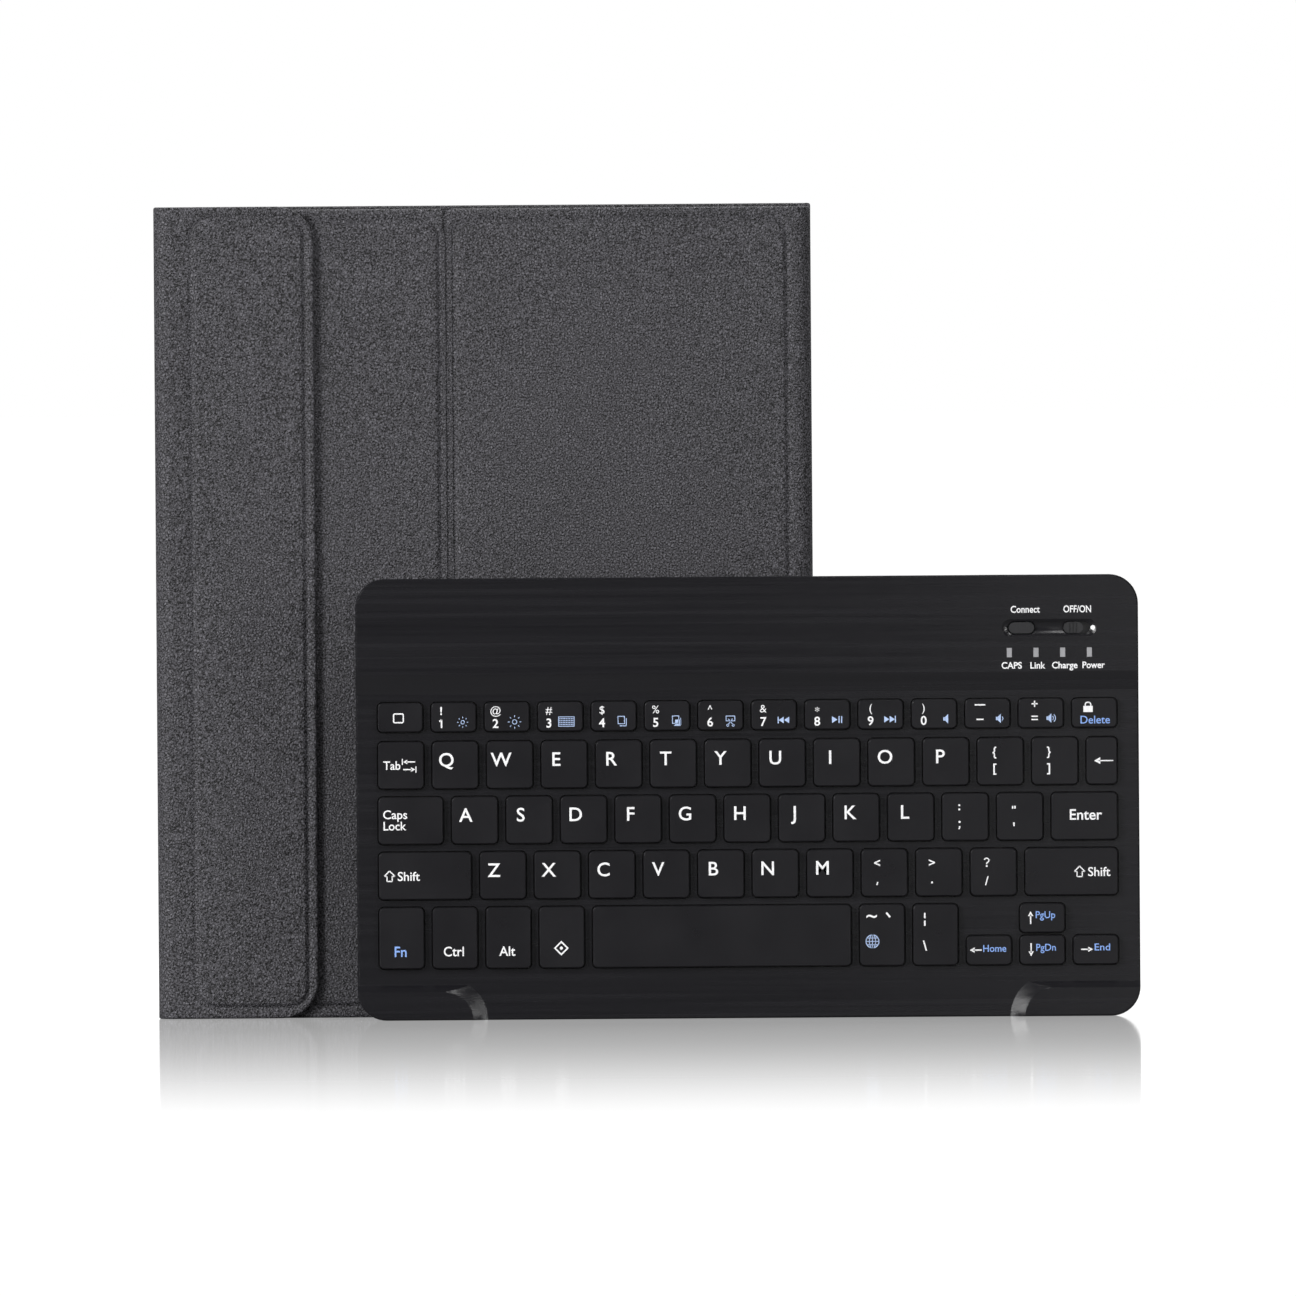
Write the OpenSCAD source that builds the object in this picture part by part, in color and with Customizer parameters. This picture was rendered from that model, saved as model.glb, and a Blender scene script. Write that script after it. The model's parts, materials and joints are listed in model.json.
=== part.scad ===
// Tablet keyboard case: a leather folio that stands closed on its short end, and its
// detachable wireless keyboard standing on its long edge in front of it.
// X runs to the right, Y runs away from the viewer and Z is up. The folio turns its back
// panels and closing flap to the viewer, and its front cover lies at the rear.

/* [Folio] */
// How much lower the two back panels end than the cover and flap
panel_drop = 1.0; // [0.4:0.1:1.2]
// Width of the closing flap, from the outer face of the strip to its free edge
flap_w = 49.8; // [46:0.2:56]
// Corner radius of the flap's free edge
flap_corner = 9.3; // [6:0.1:12]
// Distance of the fold crease from the outer face of the strip
crease_at = 91; // [88:0.5:98]
// Width of the fold crease
crease_w = 3.0; // [2.4:0.1:4]
// Outer radius of every leather bend
bend_r = 5.0; // [4.4:0.1:5.4]
// Distance from the strip's outer face to the left edge of the back panel
back_edge = 3.4; // [3.2:0.1:4.2]

/* [Leather and boards] */
// Thickness of the outer leather
leather_t = 0.8; // [0.6:0.05:1]
// Thickness of the stiffening boards in the panels, cover and spine
board_t = 1.2; // [1:0.05:1.5]
// Thickness of the inner lining
lining_t = 0.4; // [0.3:0.05:0.6]
// Thickness of the thinner board in the flap
flap_board_t = 0.9; // [0.8:0.05:1.2]
// Thickness of the leather where it bends with no board
bend_t = 1.5; // [1.2:0.05:1.7]
// Height of the embossed pads above the leather round them
pad_h = 0.5; // [0.3:0.05:0.8]
// Width of the slope round an embossed pad
pad_slope = 1.0; // [0.6:0.05:1.4]
// Margin between a pad and the top or bottom edge
pad_margin = 3.6; // [3:0.1:5]
// Margin between a pad and a fold or free edge beside it
fold_margin = 2.2; // [1.6:0.1:2.8]
// Corner radius of the embossed pads
pad_corner = 5.0; // [3:0.1:7]
// Width of the turned leather edge round a board
turned_edge = 2.4; // [1.6:0.1:2.8]
// Gap between the closed flap and the back panel
latch_gap = 0.3; // [0.2:0.05:0.5]

/* [Tablet shell] */
// Width of the tablet that the shell holds
tablet_w = 178.5; // [174:0.5:181]
// Length of the tablet that the shell holds
tablet_h = 247.6; // [240:0.2:247.8]
// Thickness of the tablet that the shell holds
tablet_t = 6.1; // [5.5:0.1:8]
// Clearance round the tablet
tablet_gap = 0.2; // [0.1:0.05:0.3]
// Wall thickness of the shell
shell_wall = 1.3; // [1.1:0.05:1.4]
// Floor thickness of the shell
shell_floor = 1.3; // [1.1:0.05:1.8]
// Thickness of the shell's retaining lip
lip_t = 1.0; // [0.8:0.05:1.4]
// How far the lip reaches over the tablet
lip_reach = 1.4; // [1:0.1:2]
// Outer corner radius of the shell
shell_corner = 15; // [12:0.5:18]
// Distance from the strip's outer face to the shell
shell_at = 10; // [8:0.5:12]
// Distance from the shell to the spine's outer face
shell_to_spine = 12.5; // [11:0.5:16]
// Distance from the shell to the top and bottom edges of the back panels
shell_rim = 0.2; // [0.1:0.1:3]
// Radius of the camera window
camera_r = 9; // [6:0.5:10]
// Distance of the camera window's centre from the tablet's two edges
camera_inset = 17; // [15:0.5:20]

/* [Keyboard case] */
// Width of the keyboard
kb_w = 242; // [242:0.5:248]
// Height of the keyboard as it stands, which is its depth on a table
kb_h = 136.5; // [136:0.5:142]
// Corner radius of the keyboard
kb_corner = 9; // [7:0.5:11]
// Thickness of the keyboard at its raised band
kb_t = 7.0; // [6.8:0.1:8]
// Thickness of the keyboard at its key bed
bed_t = 5.2; // [5.1:0.05:5.4]
// Height at which the top and bottom covers meet
split_t = 1.6; // [1.5:0.05:1.7]
// Thickness of the bottom cover's plate
floor_t = 1.2; // [1:0.05:1.3]
// Thickness of the top cover's plate
top_t = 1.0; // [0.8:0.05:1.1]
// Thickness of the covers' side walls
side_t = 1.6; // [1.4:0.05:1.8]
// Chamfer round the edge of the top cover
edge_chamfer = 0.5; // [0.3:0.05:0.7]
// Width of the ramp from the key bed to the raised band
ramp_w = 5.8; // [4:0.2:7]
// Width of each raised front corner pad at its foot
rest_w = 40.2; // [34:0.2:46]
// Height of each raised front corner pad at its foot
rest_h = 10.8; // [9.5:0.1:11.5]
// Radius of the round inner end of a front corner pad
rest_end_r = 13; // [12:0.5:15]
// Width of the slope round that inner end
rest_slope = 4.5; // [2.5:0.1:5]
// Width of the slope along a front corner pad's upper side
rest_rise = 2.0; // [1.5:0.1:3]

/* [Keys] */
// Distance from the keyboard's left edge to the first key
field_x = 6.8; // [6.6:0.1:7.4]
// Distance from the keyboard's front edge to the bottom row
field_y = 16; // [15.6:0.1:16.4]
// Height of the typing keys
key_h = 14.6; // [14:0.05:14.8]
// Height of the number row and of each arrow key
short_h = 9.0; // [8.6:0.05:9.2]
// Gap between neighbouring keys in a row
key_gap = 2.65; // [2.5:0.05:2.7]
// Gap between rows
row_gap = 2.5; // [2.3:0.05:2.6]
// Gap between the number row and the row below it
number_gap = 3.0; // [2.8:0.05:3.1]
// Gap between the up and down arrow keys
arrow_gap = 0.9; // [0.8:0.05:1]
// Width of the tab key
tab_w = 14.1; // [13.6:0.05:14.6]
// Width of the backspace key
backspace_w = 9.45; // [9:0.05:10]
// Width of the caps lock key
caps_w = 20.0; // [19:0.1:21]
// Width of the left shift key
shift_w = 28.6; // [27.6:0.1:29.6]
// Height of the key tops above the keyboard's base
key_top = 6.9; // [6.8:0.05:7]
// Depth of a keycap from its top to its skirt
cap_depth = 2.1; // [1.9:0.05:2.2]
// Wall and top thickness of a keycap
cap_wall = 0.9; // [0.8:0.05:1]
// Corner radius of a keycap
cap_corner = 1.5; // [1.2:0.05:1.8]
// Chamfer round a key top
cap_chamfer = 0.3; // [0.2:0.05:0.4]
// Clearance between a keycap and its hole
cap_clear = 0.35; // [0.3:0.05:0.4]

/* [Switches and lights] */
// Length of the slot that holds the connect button and power slider
slot_w = 29.3; // [29:0.1:31]
// Height of that slot
slot_h = 5.4; // [5.2:0.1:6.4]
// Distance of the slot's centre from the keyboard's right edge
slot_from_right = 27.5; // [27:0.25:29]
// Distance of the slot's centre from the keyboard's top edge
slot_from_top = 16.4; // [16:0.1:17.5]
// Depth of the slot, which is a scoop with round ends
slot_depth = 1.0; // [0.8:0.05:1.1]
// Length of the connect button
button_w = 7.8; // [7.4:0.1:8]
// Height of the connect button and of the slider
button_h = 3.4; // [3.2:0.05:3.8]
// Length of the power slider
slider_w = 6.0; // [5.6:0.1:6.4]
// Distance from the slot's ends to the button and to the slider's window
slot_end = 2.2; // [2:0.1:2.4]
// Travel of the power slider
slider_travel = 2.0; // [1.6:0.1:2.2]
// Running clearance of the button and slider
switch_clear = 0.2; // [0.15:0.05:0.25]
// Width of each indicator window
lens_w = 1.6; // [1.4:0.05:1.8]
// Height of each indicator window
lens_h = 2.9; // [2.6:0.05:3.2]
// Distance between indicator windows
lens_pitch = 8.25; // [8:0.05:8.5]
// Distance from the slot's centre down to the indicators' centre
lens_below = 7.6; // [7.2:0.1:8]
// Width of the charging socket
socket_w = 8.9; // [8.6:0.1:9.2]
// Height of the charging socket
socket_h = 3.2; // [3:0.05:3.3]
// Distance of the charging socket's centre from the keyboard's right edge
socket_from_right = 45; // [44:0.5:50]

/* [Arrangement] */
// How far the keyboard stands to the right of the folio's left edge
kb_offset = 62.4; // [55:0.5:75]
// Distance between the folio and the keyboard's base
kb_stand_off = 26; // [24:0.5:40]
// Height of the keyboard's rubber feet
foot_t = 0.8; // [0.5:0.05:1.2]
// Radius of the keyboard's rubber feet
foot_r = 4.5; // [3.5:0.1:5.5]

/* [Hidden] */
$fn = 48;
join = 0.01;            // sinks one feature into the solid that carries it

// Panel thicknesses and the folio's depth, counted from the flap's outer face
wall_t = leather_t + board_t + lining_t;
flap_wall = leather_t + flap_board_t + lining_t;
flap_t = flap_wall + pad_h;
panel_front = flap_t + latch_gap;
panel_face = panel_front + pad_h;
panel_back = panel_face + wall_t;
bay_depth = tablet_t + tablet_gap;
shell_d = shell_floor + bay_depth + lip_t;
shell_back = panel_back + shell_d;
kb_bay = kb_t + 0.4;    // room for the stored keyboard
cover_in = shell_back + kb_bay;
cover_face = cover_in + wall_t;
folio_d = cover_face + pad_h;

// The folio covers the tablet's shell: from the strip to the spine, and as it stands
shell_w = tablet_w + 2 * (tablet_gap + shell_wall);
shell_h = tablet_h + 2 * (tablet_gap + shell_wall);
shell_z = shell_rim;
folio_w = shell_at + shell_w + shell_to_spine;
panel_h = shell_h + 2 * shell_rim;
folio_h = panel_h + panel_drop;

// Overall size and the places of the two halves
total_w = max(folio_w, kb_offset + kb_w);
total_d = kb_t + kb_stand_off + folio_d;
kb_base = -total_d / 2 + kb_t;
folio_front = kb_base + kb_stand_off;

// Panels
back_end = crease_at - crease_w / 2;
prop_start = crease_at + crease_w / 2;
prop_end = folio_w - bend_r;
cover_w = folio_w - 2 * bend_r;
spine_start = panel_face + bend_r;
spine_end = cover_face - bend_r;
strip_start = pad_h + bend_r;
strip_end = cover_face - bend_r;

// Camera window and cut-outs in the shell
camera_x = shell_at + shell_wall + camera_inset;
camera_z = shell_z + shell_h - shell_wall - camera_inset;
port_w = 14;            // cut-out for the tablet's own charging port
speaker_w = 22;         // cut-outs for its speakers
speaker_x = 48;         // their distance from the middle
volume_h = 26;          // cut-out for its volume buttons
power_h = 14;           // cut-out for its power button
cut_t = 4.2;            // height of all the cut-outs

// Latch and magnets
latch_r = 5;            // radius of the flap magnets
latch_x = flap_w - 12;
latch_rows = [0.25, 0.5, 0.75];
latch_plate_w = 12;
latch_plate_h = 22;
bar_w = 6;              // bar magnets that hold the keyboard
bar_h = 40;
sleep_r = 4;            // magnet that puts the tablet to sleep

// Keys: each row is a list of [x, y, w, h]
field_w = kb_w - 2 * field_x;
unit_w = (field_w - 13 * key_gap) / 14;
unit_pitch = unit_w + key_gap;
letter_pitch = (field_w - tab_w - key_gap - backspace_w) / 12;
letter_w = letter_pitch - key_gap;
bottom_h = 2 * short_h + arrow_gap;
row4_y = field_y + bottom_h + row_gap;
row3_y = row4_y + key_h + row_gap;
row2_y = row3_y + key_h + row_gap;
row1_y = row2_y + key_h + number_gap;
field_top = row1_y + short_h;
field_end = field_x + field_w;
function unit_x(i) = field_x + i * unit_pitch;
function row_start(first_w) = field_x + first_w + key_gap;
function letters(first_w, y, n) =
    [for (i = [0:n - 1]) [row_start(first_w) + i * letter_pitch, y, letter_w, key_h]];
function last_key(first_w, y, n) =
    let (x = row_start(first_w) + n * letter_pitch) [x, y, field_end - x, key_h];
function bottom_key(i, n = 1) = [unit_x(i), field_y, n * unit_pitch - key_gap, bottom_h];
number_row = [for (i = [0:12]) [unit_x(i), row1_y, unit_w, short_h]];
delete_at = [unit_x(13), row1_y, unit_w, short_h];
tab_at = [field_x, row2_y, tab_w, key_h];
upper_row = letters(tab_w, row2_y, 12);
backspace_at = last_key(tab_w, row2_y, 12);
caps_at = [field_x, row3_y, caps_w, key_h];
home_row = letters(caps_w, row3_y, 11);
enter_at = last_key(caps_w, row3_y, 11);
left_shift_at = [field_x, row4_y, shift_w, key_h];
lower_row = letters(shift_w, row4_y, 10);
right_shift_at = last_key(shift_w, row4_y, 10);
fn_at = bottom_key(0);
ctrl_at = bottom_key(1);
alt_at = bottom_key(2);
command_at = bottom_key(3);
space_at = bottom_key(4, 5);
globe_at = bottom_key(9);
backslash_at = bottom_key(10);
left_at = [unit_x(11), field_y, unit_w, short_h];
down_at = [unit_x(12), field_y, unit_w, short_h];
right_at = [unit_x(13), field_y, unit_w, short_h];
up_at = [unit_x(12), field_y + short_h + arrow_gap, unit_w, short_h];
all_keys = concat(number_row, [delete_at, tab_at], upper_row, [backspace_at, caps_at],
    home_row, [enter_at, left_shift_at], lower_row, [right_shift_at, fn_at, ctrl_at, alt_at,
    command_at, space_at, globe_at, backslash_at, left_at, down_at, right_at, up_at]);

// Inside the keyboard
ramp_start = field_top + 2.7;
plate_t = 0.4;          // steel key plate
membrane_t = 0.3;
stack_top = floor_t + plate_t + membrane_t;
board_margin = 1.2;     // key plate beyond the key field
under_cap = key_top - cap_wall;
dome_r = 2.0;
dome_top_r = 1.1;
dome_wall = 0.4;
clip_w = 7.0;           // scissor clip, across its arms
clip_len = 6.6;
clip_bar = 0.7;
clip_t = 0.5;
boss_r = 1.6;
screw_r = 0.7;
screw_clear = 0.05;
screw_head_r = 1.5;
screw_head_t = 0.6;
boss_side = side_t + boss_r + 0.7;
boss_top = kb_h - boss_side;
kb_ceiling = kb_t - 1.2;
bed_ceiling = bed_t - top_t;
battery_w = 88;
battery_h = 21;
battery_t = 3.8;
pcb_t = 0.8;
pcb_w = 66;
pcb_h = 24;
pcb_x = kb_w - kb_corner - pcb_w;
pcb_y = kb_h - side_t - 0.4 - pcb_h;
pcb_top = floor_t + pcb_t;
battery_x = pcb_x - 13 - battery_w;
screw_spots = [[boss_side, 8], [boss_side, 62], [kb_w - boss_side, 8],
    [kb_w - boss_side, 62], [battery_x - 6, boss_top], [pcb_x + 5, boss_top]];
foot_in = 20;           // feet, from the keyboard's ends
foot_front = 11;
foot_rear = 14;
foot_spots = [for (x = [foot_in, kb_w - foot_in]) for (y = [foot_front, kb_h - foot_rear])
    [x, y]];
slot_x = kb_w - slot_from_right;
slot_y = kb_h - slot_from_top;
slot_floor = kb_t - slot_depth;
slot_plate = 0.9;       // plate left under the slot
scoop_r = (slot_h * slot_h / 4 + slot_depth * slot_depth) / (2 * slot_depth);
button_x = slot_x - slot_w / 2 + slot_end + button_w / 2;
slider_x = slot_x + slot_w / 2 - slot_end - slider_travel - slider_w / 2;
shield_t = 0.4;         // plate on the slider that closes its window from below
switch_top = slot_floor - slot_plate - shield_t - 0.4;
stem_w = 2.2;           // slider stem
stem_h = 1.8;
socket_x = kb_w - socket_from_right;
socket_len = 7.3;
socket_wall = 0.3;
socket_z = pcb_top + socket_h / 2;
tact_w = 4.5;
bar_y = 7.5;            // bar magnets in the keyboard's front edge
bar_x = 52;
bar_t = 1.8;

leather_colour = "#3b3a3c";
board_colour = "#6b6258";
lining_colour = "#4a4a4d";
shell_colour = "#1d1d20";
case_colour = "#141416";
key_colour = "#18181a";
metal_colour = "#b9bcc0";

// ---------------------------------------------------------------- shared shapes

// A rectangle from the origin with round corners
module round_rect(w, h, r) {
    translate([r, 0]) square([w - 2 * r, h]);
    translate([0, r]) square([w, h - 2 * r]);
    for (x = [r, w - r]) for (y = [r, h - r]) translate([x, y]) circle(r);
}

// An oblong slot centred on the origin
module slot_shape(w, h) {
    square([w - h, h], center = true);
    for (s = [-1, 1]) translate([s * (w - h) / 2, 0]) circle(h / 2);
}

// A round-cornered block from the origin, its top edge sloping in by c over the height ch
module sloped_block(w, h, r, t, c, ch) {
    translate([r, 0, 0]) rotate([90, 0, 90]) linear_extrude(w - 2 * r)
        polygon([[0, 0], [h, 0], [h, t - ch], [h - c, t], [c, t], [0, t - ch]]);
    translate([0, h - r, 0]) rotate([90, 0, 0]) linear_extrude(h - 2 * r)
        polygon([[0, 0], [w, 0], [w, t - ch], [w - c, t], [c, t], [0, t - ch]]);
    for (x = [r, w - r]) for (y = [r, h - r]) translate([x, y, 0])
        rotate_extrude() polygon([[0, 0], [r, 0], [r, t - ch], [r - c, t], [0, t]]);
}

// Places what is drawn flat on XY upright at depth v of the folio, facing the viewer
module upright(v) {
    translate([-total_w / 2, folio_front + v, 0]) rotate([90, 0, 0]) children();
}

// The same, facing the rear
module facing_rear(v) {
    translate([-total_w / 2, folio_front + v, 0]) mirror([0, 1, 0]) rotate([90, 0, 0])
        children();
}

// Places what is drawn in plan in the folio's own width and depth
module in_plan() {
    translate([-total_w / 2, folio_front, 0]) children();
}

// Places what is drawn flat, keys up, where the keyboard stands
module on_keyboard() {
    translate([-total_w / 2 + kb_offset, kb_base, 0]) rotate([90, 0, 0]) children();
}

// A quarter bend of leather about the centre c, in the quadrant given by sx and sy
module leather_bend(c, sx, sy, h) {
    in_plan() linear_extrude(h) translate(c) intersection() {
        difference() {
            circle(bend_r);
            circle(bend_r - bend_t);
        }
        scale([sx, sy]) square(bend_r);
    }
}

// An embossed pad on a panel that spans x0 to x1
module embossed_pad(x0, x1, h, z) {
    translate([x0, pad_margin, z - join])
        sloped_block(x1 - x0, h - 2 * pad_margin, pad_corner, pad_h + join, pad_slope, pad_h);
}

// The space that a board fills in its panel
module board_space(x0, x1, h, t, z) {
    translate([x0 + turned_edge, turned_edge, z])
        cube([x1 - x0 - 2 * turned_edge, h - 2 * turned_edge, t]);
}

// ---------------------------------------------------------------- folio

module camera_window(t) {
    translate([camera_x, camera_z, -1]) cylinder(r = camera_r, h = t + 2);
}

module prop_leather() {
    color(leather_colour) upright(panel_back) difference() {
        union() {
            translate([prop_start, 0, 0]) cube([prop_end - prop_start, panel_h, wall_t]);
            embossed_pad(prop_start + fold_margin / 4, prop_end - fold_margin, panel_h, wall_t);
        }
        board_space(prop_start, prop_end, panel_h, board_t, lining_t);
    }
}

module prop_board() {
    color(board_colour) upright(panel_back)
        board_space(prop_start, prop_end, panel_h, board_t, lining_t);
}

module back_board_space() {
    board_space(back_edge, back_end, panel_h, lining_t + board_t, 0);
}

module latch_plate_spots() {
    for (s = latch_rows) translate([latch_x, s * folio_h, lining_t + board_t / 2])
        cube([latch_plate_w, latch_plate_h, board_t], center = true);
}

module back_leather() {
    color(leather_colour) upright(panel_back) difference() {
        union() {
            translate([back_edge, 0, 0]) cube([back_end - back_edge, panel_h, wall_t]);
            embossed_pad(back_edge + pad_margin, back_end - fold_margin / 4, panel_h, wall_t);
        }
        back_board_space();
        camera_window(wall_t + pad_h);
    }
}

module back_board() {
    color(board_colour) upright(panel_back) difference() {
        back_board_space();
        camera_window(wall_t);
        latch_plate_spots();
    }
}

module latch_plates() {
    color(metal_colour) upright(panel_back) latch_plate_spots();
}

module fold_crease() {
    color(leather_colour) upright(panel_face + leather_t) translate([back_end, 0, 0])
        cube([crease_w, panel_h, leather_t]);
}

// Cut-outs in the shell's short walls for the tablet's ports, at the bottom and top
module shell_port_cuts(width_list) {
    for (cut = width_list) translate([shell_w / 2 + cut[0], 0, shell_floor + bay_depth / 2])
        rotate([90, 0, 0]) linear_extrude(6 * shell_wall, center = true)
            slot_shape(cut[1], cut_t);
}

module shell_side_cut(y, h) {
    translate([0, y, shell_floor + bay_depth / 2]) rotate([90, 0, 90])
        linear_extrude(6 * shell_wall, center = true) slot_shape(h, cut_t);
}

module tablet_shell() {
    inner_r = shell_corner - shell_wall;
    lip_w = shell_wall + lip_reach;
    color(shell_colour) facing_rear(panel_back) difference() {
        translate([shell_at, shell_z, 0]) difference() {
            sloped_block(shell_w, shell_h, shell_corner, shell_d, lip_t / 2, lip_t / 2);
            translate([shell_wall, shell_wall, shell_floor]) linear_extrude(bay_depth)
                round_rect(shell_w - 2 * shell_wall, shell_h - 2 * shell_wall, inner_r);
            translate([lip_w, lip_w, shell_floor]) linear_extrude(shell_d)
                round_rect(shell_w - 2 * lip_w, shell_h - 2 * lip_w, shell_corner - lip_w);
            shell_port_cuts([[0, port_w], [-speaker_x, speaker_w], [speaker_x, speaker_w]]);
            translate([0, shell_h, 0])
                shell_port_cuts([[-speaker_x, speaker_w], [speaker_x, speaker_w]]);
            translate([shell_w, 0, 0]) shell_side_cut(0.83 * shell_h, volume_h);
            shell_side_cut(0.9 * shell_h, power_h);
        }
        camera_window(shell_floor);
    }
}

module spine_plate(v0, v1, x_in, x_out, h0, h1) {
    in_plan() translate([x_in, v0, h0]) cube([x_out - x_in, v1 - v0, h1 - h0]);
}

module spine_board() {
    color(board_colour) spine_plate(spine_start + turned_edge / 2, spine_end - turned_edge / 2,
        folio_w - leather_t - board_t, folio_w - leather_t, turned_edge, folio_h - turned_edge);
}

module spine_leather() {
    color(leather_colour) difference() {
        spine_plate(spine_start, spine_end, folio_w - wall_t, folio_w, 0, folio_h);
        spine_board();
    }
}

module spine_front_bend() {
    color(leather_colour) leather_bend([prop_end, spine_start], 1, -1, panel_h);
}

module spine_rear_bend() {
    color(leather_colour) leather_bend([prop_end, spine_end], 1, 1, folio_h);
}

// Magnets in the cover: four bars that hold the keyboard and one disc for the tablet
module cover_magnet_spots() {
    mid_x = folio_w / 2;
    for (x = [mid_x - kb_h / 2 + bar_y, mid_x + kb_h / 2 - 2 * bar_y])
        for (y = [folio_h / 2 - kb_w / 2 + bar_x, folio_h / 2 + kb_w / 2 - bar_x])
            translate([x - bar_w / 2, y - bar_h / 2, lining_t]) cube([bar_w, bar_h, board_t]);
    translate([bend_r + turned_edge + 2 * sleep_r, folio_h / 2, lining_t])
        cylinder(r = sleep_r, h = board_t);
}

module cover_leather() {
    color(leather_colour) facing_rear(cover_in) difference() {
        union() {
            translate([bend_r, 0, 0]) cube([cover_w, folio_h, wall_t]);
            embossed_pad(bend_r + fold_margin, folio_w - bend_r - fold_margin, folio_h, wall_t);
        }
        board_space(bend_r, folio_w - bend_r, folio_h, lining_t + board_t, 0);
    }
}

module cover_board() {
    color(board_colour) facing_rear(cover_in) difference() {
        board_space(bend_r, folio_w - bend_r, folio_h, board_t, lining_t);
        cover_magnet_spots();
    }
}

module cover_lining() {
    color(lining_colour) facing_rear(cover_in)
        board_space(bend_r, folio_w - bend_r, folio_h, lining_t, 0);
}

module cover_magnets() {
    color(metal_colour) facing_rear(cover_in) cover_magnet_spots();
}

module strip_leather() {
    color(leather_colour) in_plan() translate([0, strip_start, 0])
        cube([bend_t, strip_end - strip_start, folio_h]);
}

module strip_rear_bend() {
    color(leather_colour) leather_bend([bend_r, strip_end], -1, 1, folio_h);
}

module strip_front_bend() {
    color(leather_colour) leather_bend([bend_r, strip_start], -1, -1, folio_h);
}

// The flap's outline: square at the bend, round at its free corners
module flap_outline(x0, inset, r) {
    x1 = flap_w - inset;
    top = folio_h - inset;
    translate([x0, inset]) square([x1 - r - x0, top - inset]);
    translate([x0, inset + r]) square([x1 - x0, top - inset - 2 * r]);
    for (y = [inset + r, top - r]) translate([x1 - r, y]) circle(r);
}

module flap_magnet_spots() {
    for (s = latch_rows) translate([latch_x, s * folio_h, lining_t])
        cylinder(r = latch_r, h = flap_board_t);
}

module flap_leather() {
    color(leather_colour) upright(flap_t) difference() {
        union() {
            linear_extrude(flap_wall) flap_outline(bend_r, 0, flap_corner);
            embossed_pad(2 * bend_r, flap_w - pad_margin, folio_h, flap_wall);
        }
        translate([0, 0, lining_t]) linear_extrude(flap_board_t)
            flap_outline(bend_r + turned_edge, turned_edge, flap_corner - turned_edge);
    }
}

module flap_board() {
    color(board_colour) upright(flap_t) difference() {
        translate([0, 0, lining_t]) linear_extrude(flap_board_t)
            flap_outline(bend_r + turned_edge, turned_edge, flap_corner - turned_edge);
        flap_magnet_spots();
    }
}

module flap_magnets() {
    color(metal_colour) upright(flap_t) flap_magnet_spots();
}

// ---------------------------------------------------------------- keyboard

module kb_block(t) {
    sloped_block(kb_w, kb_h, kb_corner, t, edge_chamfer, edge_chamfer);
}

// The raised band along the top edge and the ramp up to it
module raised_band() {
    intersection() {
        kb_block(kb_t);
        translate([-1, 0, 0]) rotate([90, 0, 90]) linear_extrude(kb_w + 2) polygon([
            [ramp_start, split_t], [ramp_start, bed_t], [ramp_start + ramp_w, kb_t + join],
            [kb_h + 1, kb_t + join], [kb_h + 1, split_t]]);
    }
}

// A raised pad in the front left corner, with a round sloping inner end
module corner_rest() {
    end_x = rest_w - rest_end_r;
    top = kb_t + join;
    intersection() {
        kb_block(kb_t);
        translate([-1, 0, 0]) rotate([90, 0, 90]) linear_extrude(rest_w + 2) polygon([
            [-1, split_t], [rest_h, split_t], [rest_h, bed_t], [rest_h - rest_rise, top],
            [-1, top]]);
        union() {
            translate([-1, -1, 0]) cube([end_x + 1, rest_h + 2, top]);
            translate([end_x, 0, 0]) rotate_extrude() polygon([[0, 0], [rest_end_r, 0],
                [rest_end_r, bed_t], [rest_end_r - rest_slope, top], [0, top]]);
        }
    }
}

module key_holes() {
    for (k = all_keys) translate([k[0] - cap_clear, k[1] - cap_clear]) round_rect(
        k[2] + 2 * cap_clear, k[3] + 2 * cap_clear, cap_corner + cap_clear, $fn = 16);
}

module kb_cavity() {
    inner = side_t + 0.4;
    translate([side_t, side_t, floor_t]) linear_extrude(bed_ceiling - floor_t)
        round_rect(kb_w - 2 * side_t, kb_h - 2 * side_t, kb_corner - side_t);
    translate([side_t + 2, ramp_start + ramp_w, floor_t])
        cube([kb_w - 2 * side_t - 4, kb_h - kb_corner - ramp_start - ramp_w, kb_ceiling - floor_t]);
    translate([kb_corner, kb_h - kb_corner - 1, floor_t])
        cube([kb_w - 2 * kb_corner, kb_corner + 1 - inner, kb_ceiling - floor_t]);
}

// The plate round the switches, thicker than the rest of the band's roof
module switch_plate() {
    translate([slot_x - slot_w / 2 - 2, slot_y - slot_h / 2 - 1, slot_floor - slot_plate])
        cube([slot_w + 4, slot_h + 2, slot_depth + slot_plate - 0.2]);
}

// The shallow scoop round the switches, and the windows that they stand in
module switch_scoop() {
    translate([slot_x, slot_y, slot_floor + scoop_r]) union() {
        rotate([0, 90, 0]) cylinder(r = scoop_r, h = slot_w - slot_h, center = true);
        for (s = [-1, 1]) translate([s * (slot_w - slot_h) / 2, 0, 0]) sphere(scoop_r);
    }
}

module switch_window(x, w) {
    translate([x, slot_y, slot_floor - 2]) linear_extrude(4)
        slot_shape(w + 2 * switch_clear, button_h + 2 * switch_clear);
}

module switch_openings() {
    switch_scoop();
    switch_window(button_x, button_w);
    switch_window(slider_x + slider_travel / 2, slider_w + slider_travel);
}

module lens_spots(z, t) {
    for (i = [-1.5:1.5]) translate([slot_x + i * lens_pitch - lens_w / 2,
        slot_y - lens_below - lens_h / 2, z]) cube([lens_w, lens_h, t]);
}

module socket_hole() {
    translate([socket_x, kb_h, socket_z]) rotate([90, 0, 0])
        linear_extrude(4 * side_t, center = true) slot_shape(socket_w + 0.3, socket_h + 0.3);
}

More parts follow.
